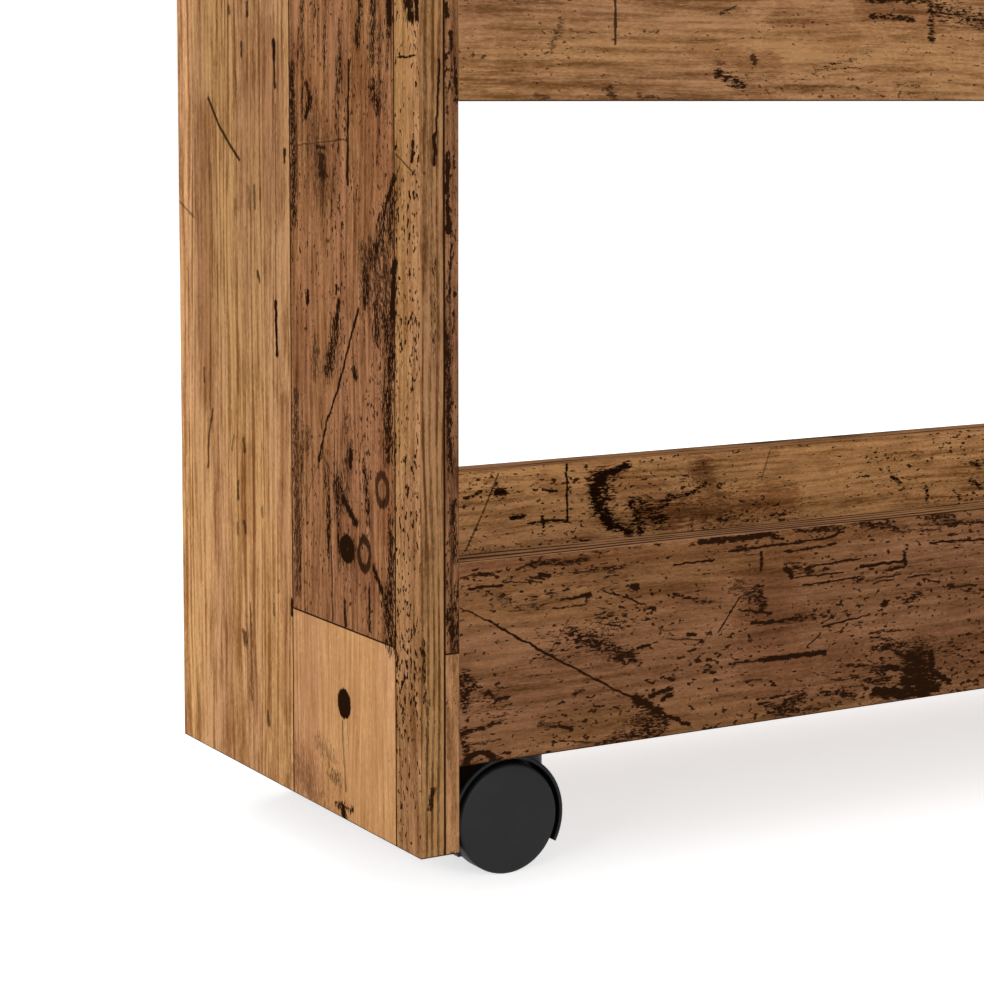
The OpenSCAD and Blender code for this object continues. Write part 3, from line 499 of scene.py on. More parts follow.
MIDDLE_RAIL_MARKS = [
    (1.3, 0.5, 0.75, (613, 0), (613, 46)), (3.0, 1.4, 0.97, (860, 2), (922, 4)),
    (3.0, 1.3, 1, (864, 18), (906, 22)), (2.6, 1.5, 0.95, (922, 0), (924, 42)),
    (6.0, 2.1, 0.88, (930, 12), (984, 26)), (4.5, 1.5, 0.88, (714, 76), (738, 86)),
    (3.6, 1.3, 0.7, (608, 90), (612, 101)), (2.6, 1.5, 0.65, (636, 97), (672, 102)),
    (1.4, 1.2, 0.65, (672, 102), (704, 103)), (2.8, 1.2, 0.7, (748, 58), (750, 63)),
    (3.0, 1.8, 0.55, (560, 24), (550, 54)), (1.4, 1.3, 0.7, (716, 16), (732, 9)),
    (2.4, 1.6, 0.55, (535, 96), (548, 99)), (1.8, 1.6, 0.45, (500, 5), (560, 8)),
    (1.2, 1.5, 0.5, (780, 86), (850, 88)), (1.8, 1.4, 0.6, (890, 86), (912, 86)),
    (1.4, 1.4, 0.7, (640, 35), (655, 34)), (2.0, 1.5, 0.55, (712, 63), (722, 66)),
]
MIDDLE_RAIL_STAINS = [
    (15.0, 1.1, 0.36, (862, 12), (926, 22)), (16.0, 1.1, 0.25, (775, 20), (840, 40)),
    (10.0, 1.1, 0.3, (690, 50), (770, 66)),
]

# Board finishes

# The dark lines between planks, across planks and along a board's lower edge: dark up to the first
# distance and gone at the second, in millimetres, then how dark they are near and far.
JOINT_LINE = (0.2, 0.6, 0.9, 0.0)
CROSS_JOINT_LINE = (0.15, 0.5, 0.85, 0.0)
FOOT_LINE = (0.3, 0.7, 0.75, 0.0)


def look(light, dark, grain, age):
    """A plank's two colours as a screen shows them, its grain (ring gap, ring strength, flecks) and its
    age (streaks, wear, contrast)."""
    return {"light": on_screen(*light), "dark": on_screen(*dark), "grain": grain, "age": age}


HONEY = look((186, 143, 100), (121, 80, 45), (5.2, 0.5, 0.3), (0.05, -0.2, 1.0))
BLOCK = look((207, 158, 113), (152, 104, 62), (2.6, 0.2, 0.25), (-0.1, -0.2, 0.6))
SPECKLED = look((178, 134, 91), (113, 75, 42), (4.0, 0.15, 1.35), (0.2, 0.3, 1.0))
REDDISH = look((166, 118, 82), (99, 61, 35), (4.5, 0.25, 1.0), (0.85, 0.75, 0.9))
FRONT_BROWN = look((133, 94, 65), (78, 49, 25), (4.2, 0.05, 1.2), (0.6, 0.7, 0.75))
# Painted light: the back rail's golden colours are raised to lift the shade that falls inside the tray.
GOLDEN_WITH_PAINTED_LIGHT = look((214, 163, 112), (132, 90, 52), (4.0, 0.2, 1.1), (0.4, 0.6, 1.0))
LIGHT_BROWN = look((157, 117, 82), (99, 66, 38), (4.0, 0.25, 0.8), (0.2, 0.35, 1.0))
EDGE_LIGHT = look((152, 114, 77), (87, 56, 29), (2.4, 0.8, 0.5), (0.1, 0.2, 1.1))
EDGE_DARK = look((136, 96, 66), (71, 44, 26), (3.0, 0.3, 1.2), (1.0, 1.1, 1.0))
RAIL_TOP = look((176, 131, 94), (74, 48, 30), (6.0, 1.5, 0.2), (0.0, 0.0, 1.0))
EDGE_BLOCK = look((171, 127, 85), (104, 70, 41), (4.0, 0.25, 0.8), (0.2, 0.35, 1.0))

# A span that covers a whole face, and the joints between the planks that the photograph shows, in
# millimetres in the trolley's frame.
EVERYWHERE = (-FAR_OFF, FAR_OFF)
CORNER_JOINT = -82.4
MIDDLE_JOINT = -1.8
BLOCK_JOINT = 89.4
EDGE_JOINT = -260.7
EDGE_BLOCK_JOINT = 89.4

# What a look is made of, and how each part of it is mixed.
LOOK_PARTS = {"light": "RGBA", "dark": "RGBA", "grain": "VECTOR", "age": "VECTOR"}

# What the photograph shows: each plank is its span across, its span along, its look and its seed. A joint
# is its place across the grain. A cross joint is its place along the grain and its two ends across it. Pale
# is where a plank grows paler, across and along, how much along, and past which joint.
PANEL_FACE = {
    "planks": [(EVERYWHERE, EVERYWHERE, HONEY, 2.0),
               ((CORNER_JOINT, MIDDLE_JOINT), (BLOCK_JOINT, FAR_OFF), REDDISH, 5.0),
               ((CORNER_JOINT, MIDDLE_JOINT), (-FAR_OFF, BLOCK_JOINT), BLOCK, 9.0),
               ((-FAR_OFF, CORNER_JOINT), EVERYWHERE, SPECKLED, 14.0)],
    "joints": [CORNER_JOINT, MIDDLE_JOINT],
    "cross_joints": [(BLOCK_JOINT, CORNER_JOINT, MIDDLE_JOINT)],
    "marks": PANEL_FACE_MARKS,
    "stains": PANEL_FACE_STAINS,
    "knots": PANEL_FACE_KNOTS,
    "pale": {"across": (80.0, 92.0), "along": (230.0, 90.0), "most": 0.6, "past": MIDDLE_JOINT},
}
PANEL_EDGE = {
    "planks": [(EVERYWHERE, EVERYWHERE, EDGE_LIGHT, 22.0),
               ((EDGE_JOINT, FAR_OFF), (EDGE_BLOCK_JOINT, FAR_OFF), EDGE_DARK, 27.0),
               ((EDGE_JOINT, FAR_OFF), (-FAR_OFF, EDGE_BLOCK_JOINT), EDGE_BLOCK, 33.0)],
    "joints": [EDGE_JOINT],
    "cross_joints": [(EDGE_BLOCK_JOINT, EDGE_JOINT, FAR_OFF)],
    "marks": PANEL_EDGE_MARKS,
    "stains": [],
    "knots": [],
}


def one_plank(finish, seed, marks=(), stains=(), knots=()):
    return {"planks": [(EVERYWHERE, EVERYWHERE, finish, seed)], "joints": [], "cross_joints": [],
            "marks": marks, "stains": stains, "knots": knots}


def planked_face(b, along, across, face):
    """The place, colours, grain and age on a face whose planks are laid out one by one."""
    _, _, finish, seed = face["planks"][0]
    found = dict(finish, seed=seed)
    for (side_low, side_high), (end_low, end_high), finish, seed in face["planks"][1:]:
        inside = 1.0
        for value, edge, test in ((across, side_low, "GREATER_THAN"), (across, side_high, "LESS_THAN"),
                                  (along, end_low, "GREATER_THAN"), (along, end_high, "LESS_THAN")):
            if abs(edge) < FAR_OFF:
                inside = b.times(inside, b.math(test, value, edge))
        here = dict(finish, seed=seed)
        for part, kind in {"seed": "FLOAT", **LOOK_PARTS}.items():
            found[part] = b.mix(inside, found[part], here[part], kind)
    joint = 0.0
    for edge in face["joints"]:
        joint = b.either(joint, b.rise(b.math("ABSOLUTE", b.add(across, -edge)), *JOINT_LINE))
    for edge, side_low, side_high in face["cross_joints"]:
        line = b.rise(b.math("ABSOLUTE", b.add(along, -edge)), *CROSS_JOINT_LINE)
        within = b.times(b.above(across, side_low), b.below(across, side_high))
        joint = b.either(joint, b.times(line, within))
    found["place"] = b.join(along, across, found.pop("seed"))
    found["joint"] = joint
    return found


# Painted light: the back rail's inner face is lightened towards its left end, where the end panel's shade
# falls.
BACK_RAIL = one_plank(GOLDEN_WITH_PAINTED_LIGHT, 47.0, BACK_RAIL_MARKS, BACK_RAIL_STAINS)
BACK_RAIL["pale"] = {"across": (FAR_OFF, FAR_OFF + 1.0), "along": (-40.0, -160.0), "most": 0.32,
                     "past": -FAR_OFF}

# Light fibres show through the marks that are at least as rough as this.
WORN_FROM = 1.25
# A mark's least half width on the board, in millimetres.
THINNEST_MARK = 0.3
# How far the marks are bent out of their straight lines, along and across the grain, in millimetres.
JOG = (1.4, 1.6)


def on_board(plane, pixel):
    """Where a pixel of the photograph lies on a board's face, along and across its grain."""
    facing, level, along, across = plane
    sideways = (pixel[0] - PHOTO_MIDDLE) / PHOTO_LENS
    ray = Vector((math.sin(PHOTO_TURN) + sideways * math.cos(PHOTO_TURN),
                  math.cos(PHOTO_TURN) - sideways * math.sin(PHOTO_TURN),
                  (PHOTO_HORIZON - pixel[1]) / PHOTO_LENS))
    place = PHOTO_EYE + ray * ((level - PHOTO_EYE[facing]) / ray[facing])
    return place[along], place[across]


def half_on_board(plane, start, end, half):
    """A mark's half width on a board's face, from its half width square to its line in the photograph."""
    length = math.dist(start, end)
    middle = ((start[0] + end[0]) / 2, (start[1] + end[1]) / 2)
    square = (start[1] - end[1], end[0] - start[0])
    beside = [middle[i] + square[i] * half / length for i in range(2)]
    return max(THINNEST_MARK, math.dist(on_board(plane, middle), on_board(plane, beside)))


def darkest(b, place, rag, plane, marks):
    """The mask of a list of marks, each the strongest where they cross."""
    mask = 0.0
    for half, rough, strength, *pixels in marks:
        for start, end in zip(pixels, pixels[1:]):
            first, last = on_board(plane, start), on_board(plane, end)
            out = b.group(SCRATCH, {"Place": place, "From": (*first, 0.0),
                                    "Run": (last[0] - first[0], last[1] - first[1], 0.0),
                                    "Reach": (half_on_board(plane, start, end, half), rough, strength),
                                    "Rag": rag})
            mask = b.either(mask, out[0])
    return mask


def marks_on(b, along, across, rag, whole, face, plane):
    """The mask of a face's scratches, worn patches and knots."""
    jog = b.noise(b.join(along, across, 0.0), 0.25, 2.0)
    bent = [b.scaled(jog, most, b.add(value, -most / 2)) for most, value in zip(JOG, (along, across))]
    place = b.join(*bent)
    worn = [mark for mark in face["marks"] if mark[1] >= WORN_FROM]
    lines = [mark for mark in face["marks"] if mark[1] < WORN_FROM]
    mask = b.times(darkest(b, place, rag, plane, worn), whole)
    mask = b.either(mask, darkest(b, place, rag, plane, lines))
    for x, y, half_width, half_height, ring, strength in face["knots"]:
        pixels = ((x, y), (x + half_width, y), (x, y + half_height))
        centre, beside, below = (on_board(plane, pixel) for pixel in pixels)
        size = [max(abs(beside[i] - centre[i]), abs(below[i] - centre[i])) for i in range(2)]
        out = b.group(KNOT, {"Place": place, "Centre": (*centre, 0.0), "Size": (*size, 1.0), "Ring": ring,
                             "Reach": (0.12, strength, 0.0), "Rag": rag})
        mask = b.either(mask, out[0])
    return mask


def paler(b, colour, mask, along, across, pale):
    """Lightens a plank towards one side and one end, softly, past the joint beside it. On the back rail's
    inner face this is painted light, lifting the end panel's shade.
    """
    share = b.either(b.rise(across, *pale["across"]), b.rise(along, *pale["along"], to_high=pale["most"]))
    share = b.times(b.times(share, mask), b.above(across, pale["past"]))
    return b.tinted(share, colour, PALER)


def in_millimetres(b):
    """The place on the object, in millimetres."""
    place = b.put("ShaderNodeTexCoord", {}).outputs["Object"]
    return b.vector("MULTIPLY", place, (1 / MM,) * 3)


def new_material(name):
    material = bpy.data.materials.new(name)
    material.use_nodes = True
    material.node_tree.nodes.clear()
    return material, Bench(material.node_tree)


def finish_material(b, colour, roughness, height, bump, bump_size, metallic=0.0, specular=0.5):
    normal = b.put("ShaderNodeBump", {"Height": height, "Strength": bump, "Distance": bump_size}).outputs[0]
    surface = b.put("ShaderNodeBsdfPrincipled", {
        "Base Color": colour, "Roughness": roughness, "Metallic": metallic,
        "Specular IOR Level": specular, "Normal": normal}).outputs[0]
    b.put("ShaderNodeOutputMaterial", {"Surface": surface})


# Which axis the grain runs along on faces across X, Y and Z, and which axis lies across it.
GRAIN_RUNS = {
    "panel": {"X": "ZY", "Y": "ZX", "Z": "YX"},
    "rail": {"X": "ZY", "Y": "XZ", "Z": "XY"},
    "shelf": {"X": "YZ", "Y": "XZ", "Z": "XY"},
}
# How wide and how long the planks are on the faces that the photograph doesn't show, in millimetres.
PLANK_SIZES = {"panel": (88.0, 330.0), "rail": (160.0, 900.0), "shelf": (82.0, 420.0)}
FACE_AXES = {"X": 0, "Y": 1, "Z": 2}
# The two colours of the chipboard's flakes, and how deep below a face it starts, in millimetres.
FLAKES = (on_screen(186, 150, 106), on_screen(128, 94, 60))
SKIN = 0.8
# A face points along an axis where its normal's part along that axis is greater than this.
FACING = 0.7


def board_material(node, kind, seed, tone, shown=()):
    """The finish of one board. Shown holds the faces that the photograph shows, as (facing, face)."""
    low, high = ([value / MM for value in corner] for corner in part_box(node))
    material, b = new_material(node)
    texture = b.put("ShaderNodeTexCoord", {})
    scaled = b.vector("MULTIPLY", texture.outputs["Object"], (1 / MM,) * 3)
    at = dict(zip("XYZ", b.split(scaled)))
    facing = dict(zip("XYZ", b.split(texture.outputs["Normal"])))
    runs = GRAIN_RUNS[kind]
    is_x = b.above(b.math("ABSOLUTE", facing["X"]), FACING)
    is_z = b.above(b.math("ABSOLUTE", facing["Z"]), FACING)

    def by_axis(position):
        value = at[runs["Y"][position]]
        value = b.mix(is_x, value, at[runs["X"][position]], "FLOAT")
        return b.mix(is_z, value, at[runs["Z"][position]], "FLOAT")

    along, across = by_axis(0), by_axis(1)
    sign = b.math("SIGN", b.add(b.add(facing["X"], facing["Y"]), facing["Z"]))
    face_seed = b.add(b.add(b.times(is_x, 31.0), b.times(is_z, 57.0)), b.scaled(sign, 8.0, seed))
    made = b.group(PLANK_LAYOUT, {"Place": b.join(along, across, face_seed),
                                  "Size": (*PLANK_SIZES[kind], 0.0), "Tone": tone})
    parts = {"place": "VECTOR", **LOOK_PARTS, "joint": "FLOAT"}
    found = {part: made[part.capitalize()] for part in parts}
    masks = []
    for (end, axis), face in shown:
        mask = b.above(facing[axis], FACING) if end == "+" else b.below(facing[axis], -FACING)
        face_along, face_across = (at[name] for name in runs[axis])
        here = planked_face(b, face_along, face_across, face)
        for part, mixed in parts.items():
            found[part] = b.mix(mask, found[part], here[part], mixed)
        level = (high if end == "+" else low)[FACE_AXES[axis]]
        plane = (FACE_AXES[axis], level, *(FACE_AXES[name] for name in runs[axis]))
        masks.append((mask, face_along, face_across, face, plane))
    plank = b.group(OLD_PLANK, {part.capitalize(): found[part] for part in ("place", *LOOK_PARTS)})
    dark = found["joint"]
    colour = plank["Colour"]
    for mask, face_along, face_across, face, plane in masks:
        if "pale" in face:
            colour = paler(b, colour, mask, face_along, face_across, face["pale"])
        if face["stains"]:
            stained = darkest(b, b.join(face_along, face_across), plank["Rag"], plane, face["stains"])
            colour = b.tinted(b.times(mask, stained), colour, STAIN)
        if face["marks"] or face["knots"]:
            marked = marks_on(b, face_along, face_across, plank["Rag"], plank["Whole"], face, plane)
            dark = b.either(dark, b.times(mask, marked))
    upright = b.minus(1.0, is_z)
    dark = b.either(dark, b.times(upright, b.rise(b.add(at["Z"], -low[2]), *FOOT_LINE)))
    colour = b.mix(b.rise(dark, 0.0, 0.92), colour, CRACK_BLACK)

    deep = None
    for axis, index in FACE_AXES.items():
        inside = b.least(b.add(at[axis], -low[index]), b.minus(high[index], at[axis]))
        deep = inside if deep is None else b.least(deep, inside)
    core = b.above(deep, SKIN)
    flake = b.put("ShaderNodeTexVoronoi", {"Vector": scaled, "Scale": 0.9}).outputs["Color"]
    chipboard = b.mix(b.split(flake)[0], *FLAKES)
    colour = b.mix(core, colour, chipboard)
    emboss = b.noise(b.join(b.times(along, 0.4), b.times(across, 1.3)), 1.0, 2.0)
    finish_material(b, colour, roughness=0.6, height=emboss, bump=0.5, bump_size=0.6 * MM, specular=0.0)
    return material


# Plastic and metal finishes

def moulded_plastic(name, colour, pale, roughness, grit):
    """Moulded plastic with a fine spark-eroded texture. Grit is how strong the texture is."""
    material, b = new_material(name)
    scaled = in_millimetres(b)
    fine = b.noise(scaled, 9.0, 2.0)
    broad = b.noise(scaled, 0.12, 2.0)
    tint = b.mix(b.rise(broad, 0.3, 0.7), colour, pale)
    finish_material(b, tint, b.scaled(broad, 0.12, roughness - 0.06), fine, grit, 0.05 * MM, specular=0.2)
    return material


def plated_steel(name, bright, dull, roughness):
    """Plated or bare metal: faint clouds, a fine grain and small dull spots."""
    material, b = new_material(name)
    scaled = in_millimetres(b)
    clouds = b.noise(scaled, 0.25, 3.0)
    lines = b.noise(scaled, 5.0, 2.0, 0.6)
    spots = b.rise(b.noise(scaled, 1.4, 1.0), 0.68, 0.76)
    tint = b.mix(b.either(b.rise(clouds, 0.4, 0.75), spots), bright, dull)
    rough = b.add(b.scaled(lines, 0.2, roughness - 0.1), b.times(spots, 0.2))
    finish_material(b, tint, rough, lines, 0.2, 0.04 * MM, metallic=1.0)
    return material


def turned_beech():
    material, b = new_material("beech")
    scaled = in_millimetres(b)
    grain = b.noise(b.vector("MULTIPLY", scaled, (0.06, 0.9, 0.9)), 1.0, 3.0, 0.6)
    pores = b.rise(b.noise(b.vector("MULTIPLY", scaled, (0.5, 3.0, 3.0)), 1.0, 1.0), 0.62, 0.7)
    tint = b.mix(b.rise(grain, 0.35, 0.7), on_screen(214, 178, 128), on_screen(184, 144, 96))
    tint = b.mix(b.times(pores, 0.5), tint, on_screen(140, 100, 62))
    finish_material(b, tint, 0.6, grain, 0.2, 0.1 * MM, specular=0.3)
    return material


WHEEL_BLACK = moulded_plastic("wheel plastic", on_screen(26, 26, 26), on_screen(31, 31, 31), 0.5, 0.06)
HOOD_BLACK = moulded_plastic("hood plastic", on_screen(10, 11, 12), on_screen(14, 15, 16), 0.42, 0.06)
ZINC = plated_steel("zinc plate", on_screen(196, 198, 200), on_screen(160, 162, 164), 0.32)
CAST_ZINC = plated_steel("cast zinc", on_screen(178, 178, 176), on_screen(138, 138, 136), 0.45)
STEEL = plated_steel("steel", on_screen(168, 170, 173), on_screen(128, 130, 133), 0.35)
BEECH = turned_beech()

# Pieces

def in_scene(name, data):
    """A new object in the scene, for a mesh, a lamp or a camera."""
    made = bpy.data.objects.new(name, data)
    bpy.context.scene.collection.objects.link(made)
    return made


def closed_mesh(name, work):
    """The mesh of a finished edit, which ends with it."""
    mesh = bpy.data.meshes.new(name)
    work.to_mesh(mesh)
    work.free()
    return mesh


def add_piece(name, mesh, body, nodes, materials=()):
    """A finished mesh as a piece that rides on a body and stands for its CAD nodes."""
    mesh.name = name
    if materials:
        mesh.materials.clear()
        for material in materials:
            mesh.materials.append(material)
    piece = in_scene(name, mesh)
    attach(piece, body)
    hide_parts(*nodes)


# Boards

def merged_copy(node):
    """A CAD node's mesh with its loose triangles merged and flat areas made one face each."""
    work = bmesh.new()
    work.from_mesh(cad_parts[node].data)
    bmesh.ops.remove_doubles(work, verts=work.verts, dist=WELD)
    bmesh.ops.dissolve_limit(work, angle_limit=math.radians(0.3), verts=work.verts, edges=work.edges)
    return work


def eased_board(node, radius):
    """A board with its outer edges eased, as its edge band leaves them."""
    low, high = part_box(node)
    work = merged_copy(node)

    def sides(point):
        return {(axis, end) for axis in range(3) for end, edge in enumerate((low, high))
                if abs(point[axis] - edge[axis]) < 10 * WELD}

    rims = [e for e in work.edges if len(sides(e.verts[0].co) & sides(e.verts[1].co)) == 2]
    bmesh.ops.bevel(work, geom=rims, offset=radius, segments=2, profile=0.5, affect="EDGES",
                    clamp_overlap=True)
    return closed_mesh(node, work)


BOARD_EASE = 0.4 * MM
BOARDS = [
    # node, kind, slot, seed, tone, faces that the photograph shows
    ("end_panel_left", "panel", "panel_wood", 3.0, 0.5, [("-X", PANEL_FACE), ("-Y", PANEL_EDGE)]),
    ("end_panel_right", "panel", "panel_wood", 12.0, 0.5, []),
    ("bottom_front_rail", "rail", "rail_wood", 21.0, 0.1,
     [("-Y", one_plank(FRONT_BROWN, 41.0, FRONT_RAIL_MARKS, FRONT_RAIL_STAINS, FRONT_RAIL_KNOTS)),
      ("+Z", one_plank(RAIL_TOP, 44.0))]),
    ("bottom_back_rail", "rail", "rail_wood", 34.0, 0.3,
     [("-Y", BACK_RAIL), ("+Z", one_plank(RAIL_TOP, 49.0))]),
    ("middle_front_rail", "rail", "rail_wood", 45.0, 0.5,
     [("-Y", one_plank(LIGHT_BROWN, 51.0, MIDDLE_RAIL_MARKS, MIDDLE_RAIL_STAINS))]),
    ("middle_back_rail", "rail", "rail_wood", 56.0, 0.2, []),
    ("top_front_rail", "rail", "rail_wood", 67.0, 0.6, []),
    ("top_back_rail", "rail", "rail_wood", 78.0, 0.3, []),
    ("bottom_shelf", "shelf", "shelf_wood", 83.0, 0.5, []),
    ("middle_shelf", "shelf", "shelf_wood", 94.0, 0.6, []),
    ("top_shelf", "shelf", "shelf_wood", 105.0, 0.4, []),
]
for node, kind, slot, seed, tone, shown in BOARDS:
    add_piece(node + "_board", eased_board(node, BOARD_EASE), "trolley", [node],
              [board_material(node, kind, seed, tone, shown)])


# Turned and repeated pieces, made by geometry trees

GEOMETRY = [("Geometry", "Geometry")]
AT_ORIGIN = (0.0, 0.0, 0.0)
WHEEL_FACETS = 96
LOCK_FACETS = 64
SCREW_FACETS = 32
# How many steps make a wheel's crowned face and its rounded edge.
CROWN_STEPS = 8
EDGE_STEPS = 5


def sizes(*names):
    """Input sockets for sizes, one for each name."""
    return [(name, "Float") for name in names]


def turned(b, outline, turns):
    """A shape turned round Z from an outline of (radius, height) that starts and ends on the axis."""
    count = len(outline)
    grid = b.put("GeometryNodeMeshGrid", {"Vertices X": turns + 1, "Vertices Y": count}).outputs["Mesh"]
    index = b.put("GeometryNodeInputIndex", {}).outputs[0]
    step = b.math("FLOOR", b.over(b.add(index, 0.5), float(count)))
    switch = b.tree.nodes.new("GeometryNodeIndexSwitch")
    switch.data_type = "VECTOR"
    for _ in range(count - len(switch.index_switch_items)):
        switch.index_switch_items.new()
    b.feed(switch.inputs["Index"], b.minus(index, b.times(step, float(count))))
    for spot, (radius, height) in enumerate(outline):
        b.feed(switch.inputs[spot + 1], b.join(radius, 0.0, height))
    radius, _, height = b.split(switch.outputs[0])
    angle = b.times(step, math.tau / turns)
    place = b.join(b.times(radius, b.math("COSINE", angle)), b.times(radius, b.math("SINE", angle)), height)
    shape = b.put("GeometryNodeSetPosition", {"Geometry": grid, "Position": place}).outputs[0]
    return b.put("GeometryNodeMergeByDistance", {"Geometry": shape, "Distance": WELD}).outputs[0]


def rounded(b, radius, height, rounding):
    """Outline points round an outer edge, from the face at this height to the side at this radius."""
    points = []
    for step in range(EDGE_STEPS + 1):
        angle = math.pi / 2 * step / EDGE_STEPS
        points.append((b.scaled(rounding, math.sin(angle) - 1.0, radius),
                       b.scaled(rounding, math.cos(angle) - 1.0, height)))
    return points


def moved(b, shape, place, rotation=AT_ORIGIN):
    return b.put("GeometryNodeTransform",
                 {"Geometry": shape, "Translation": place, "Rotation": rotation}).outputs[0]


def block(b, size, centre):
    """A box as a cutter or a rib."""
    return moved(b, b.put("GeometryNodeMeshCube", {"Size": size}).outputs["Mesh"], centre)


def rod(b, radius, length, centre, facets, rotation=AT_ORIGIN):
    """A round rod as a cutter."""
    shape = b.put("GeometryNodeMeshCylinder", {"Vertices": facets, "Radius": radius, "Depth": length})
    return moved(b, shape.outputs["Mesh"], centre, rotation)


def cut_away(b, shape, *cutters):
    node = b.put("GeometryNodeMeshBoolean", {"Mesh 1": shape}, operation="DIFFERENCE", solver="EXACT")
    for cutter in cutters:
        b.tree.links.new(cutter, node.inputs["Mesh 2"])
    return node.outputs[0]


def joined(b, *shapes):
    node = b.tree.nodes.new("GeometryNodeJoinGeometry")
    for shape in shapes:
        b.tree.links.new(shape, node.inputs[0])
    return node.outputs[0]


def copies(b, shape, points, rotation):
    """One copy of a shape at each point, realised."""
    placed = b.put("GeometryNodeInstanceOnPoints",
                   {"Points": points, "Instance": shape, "Rotation": rotation})
    return b.put("GeometryNodeRealizeInstances", {"Geometry": placed.outputs[0]}).outputs[0]


def close_shape(b, shape, material):
    """Ends a geometry tree: nothing instanced is left, and the whole shape has one material."""
    real = b.put("GeometryNodeRealizeInstances", {"Geometry": shape}).outputs[0]
    finished = b.put("GeometryNodeSetMaterial", {"Geometry": real, "Material": material}).outputs[0]
    close_group(b, {"Geometry": finished})


def cross_recess(b, size, blade, depth):
    """Two cutters for a cross driver's recess in a face at height 0."""
    through = b.times(depth, 2.0)
    return (block(b, b.join(size, blade, through), AT_ORIGIN),
            block(b, b.join(blade, size, through), AT_ORIGIN))


def make_wheel_tree():
    """A castor wheel: crowned outer face, rounded tread, open inner side with a hub and spokes."""
    tree, b, given = new_group(
        "castor wheel",
        sizes("Radius", "Width", "Crown", "Tread", "Wall", "Hub Radius", "Bore Radius", "Bore Depth",
              "Rounding", "Spoke Thickness", "Spoke Inset") + [("Spokes", "Int"), ("Material", "Material")],
        GEOMETRY, "Geometry")
    radius, width, rounding = given["Radius"], given["Width"], given["Rounding"]
    edge = b.minus(radius, rounding)
    crown = []
    for step in range(CROWN_STEPS):
        out = step / CROWN_STEPS
        crown.append((b.times(edge, out), b.scaled(given["Crown"], 1.0 - out ** 2, width)))
    small = b.times(rounding, 0.4)
    pocket = b.minus(radius, given["Tread"])
    depth = b.minus(width, given["Wall"])
    hub = given["Hub Radius"]
    # From the crowned face over the tread, round the open inner side and the hub to the axle's bore.
    outline = crown + rounded(b, radius, width, rounding) + [
        (radius, small), (b.minus(radius, small), 0.0),
        (b.add(pocket, small), 0.0), (pocket, small), (pocket, depth),
        (hub, depth), (hub, small), (b.minus(hub, small), 0.0),
        (given["Bore Radius"], 0.0), (given["Bore Radius"], given["Bore Depth"]), (0.0, given["Bore Depth"])]
    body = turned(b, outline, WHEEL_FACETS)

    # A spoke reaches a little into the tread, the hub and the outer wall.
    inset = given["Spoke Inset"]
    length = b.add(b.minus(pocket, hub), small)
    size = b.join(length, given["Spoke Thickness"], b.minus(depth, inset))
    centre = b.join(b.scaled(b.add(pocket, hub), 0.5), 0.0, b.scaled(b.add(depth, inset), 0.5, 0.1 * MM))
    spoke = block(b, size, centre)
    ring = b.put("GeometryNodeMeshLine", {"Count": given["Spokes"], "Offset": AT_ORIGIN}).outputs[0]
    index = b.put("GeometryNodeInputIndex", {}).outputs[0]
    turn = b.times(b.over(index, given["Spokes"]), math.tau)
    spokes = copies(b, spoke, ring, b.join(0.0, 0.0, turn))
    close_shape(b, joined(b, body, spokes), given["Material"])
    return tree


def make_screw_tree():
    """Four countersunk cross-head screws at the corners of a square, heads down at height 0."""
    tree, b, given = new_group(
        "castor screws",
        sizes("Head Radius", "Head Height", "Root Radius", "Length", "Pitch", "Spacing", "Recess", "Blade",
              "Recess Depth") + [("Material", "Material")],
        GEOMETRY, "Geometry")
    head, height = given["Head Radius"], given["Head Height"]
    root, length = given["Root Radius"], given["Length"]
    # From the head's flat face over its rim and cone, and down the shank to the tip.
    outline = [(0.0, 0.0), (b.times(head, 0.93), 0.0), (head, b.times(head, 0.05)),
               (head, b.times(head, 0.1)), (root, height),
               (root, b.minus(length, b.times(root, 1.6))), (0.0, length)]
    body = cut_away(b, turned(b, outline, SCREW_FACETS),
                    *cross_recess(b, given["Recess"], given["Blade"], given["Recess Depth"]))
    rise = b.minus(b.minus(length, height), b.times(root, 2.4))
    spiral = b.put("GeometryNodeCurveSpiral", {
        "Resolution": 20, "Rotations": b.over(rise, given["Pitch"]), "Start Radius": root,
        "End Radius": root, "Height": rise}).outputs[0]
    ridge = b.put("GeometryNodeCurvePrimitiveCircle",
                  {"Resolution": 3, "Radius": b.times(given["Pitch"], 0.26)}).outputs[0]
    thread = b.put("GeometryNodeCurveToMesh",
                   {"Curve": spiral, "Profile Curve": ridge, "Fill Caps": True}).outputs[0]
    thread = moved(b, thread, b.join(0.0, 0.0, b.add(height, b.times(root, 0.4))))
    corners = b.put("GeometryNodeMeshGrid", {"Size X": given["Spacing"], "Size Y": given["Spacing"],
                                             "Vertices X": 2, "Vertices Y": 2}).outputs["Mesh"]
    turn = b.times(b.put("GeometryNodeInputIndex", {}).outputs[0], 0.7)
    close_shape(b, copies(b, joined(b, body, thread), corners, b.join(0.0, 0.0, turn)), given["Material"])
    return tree


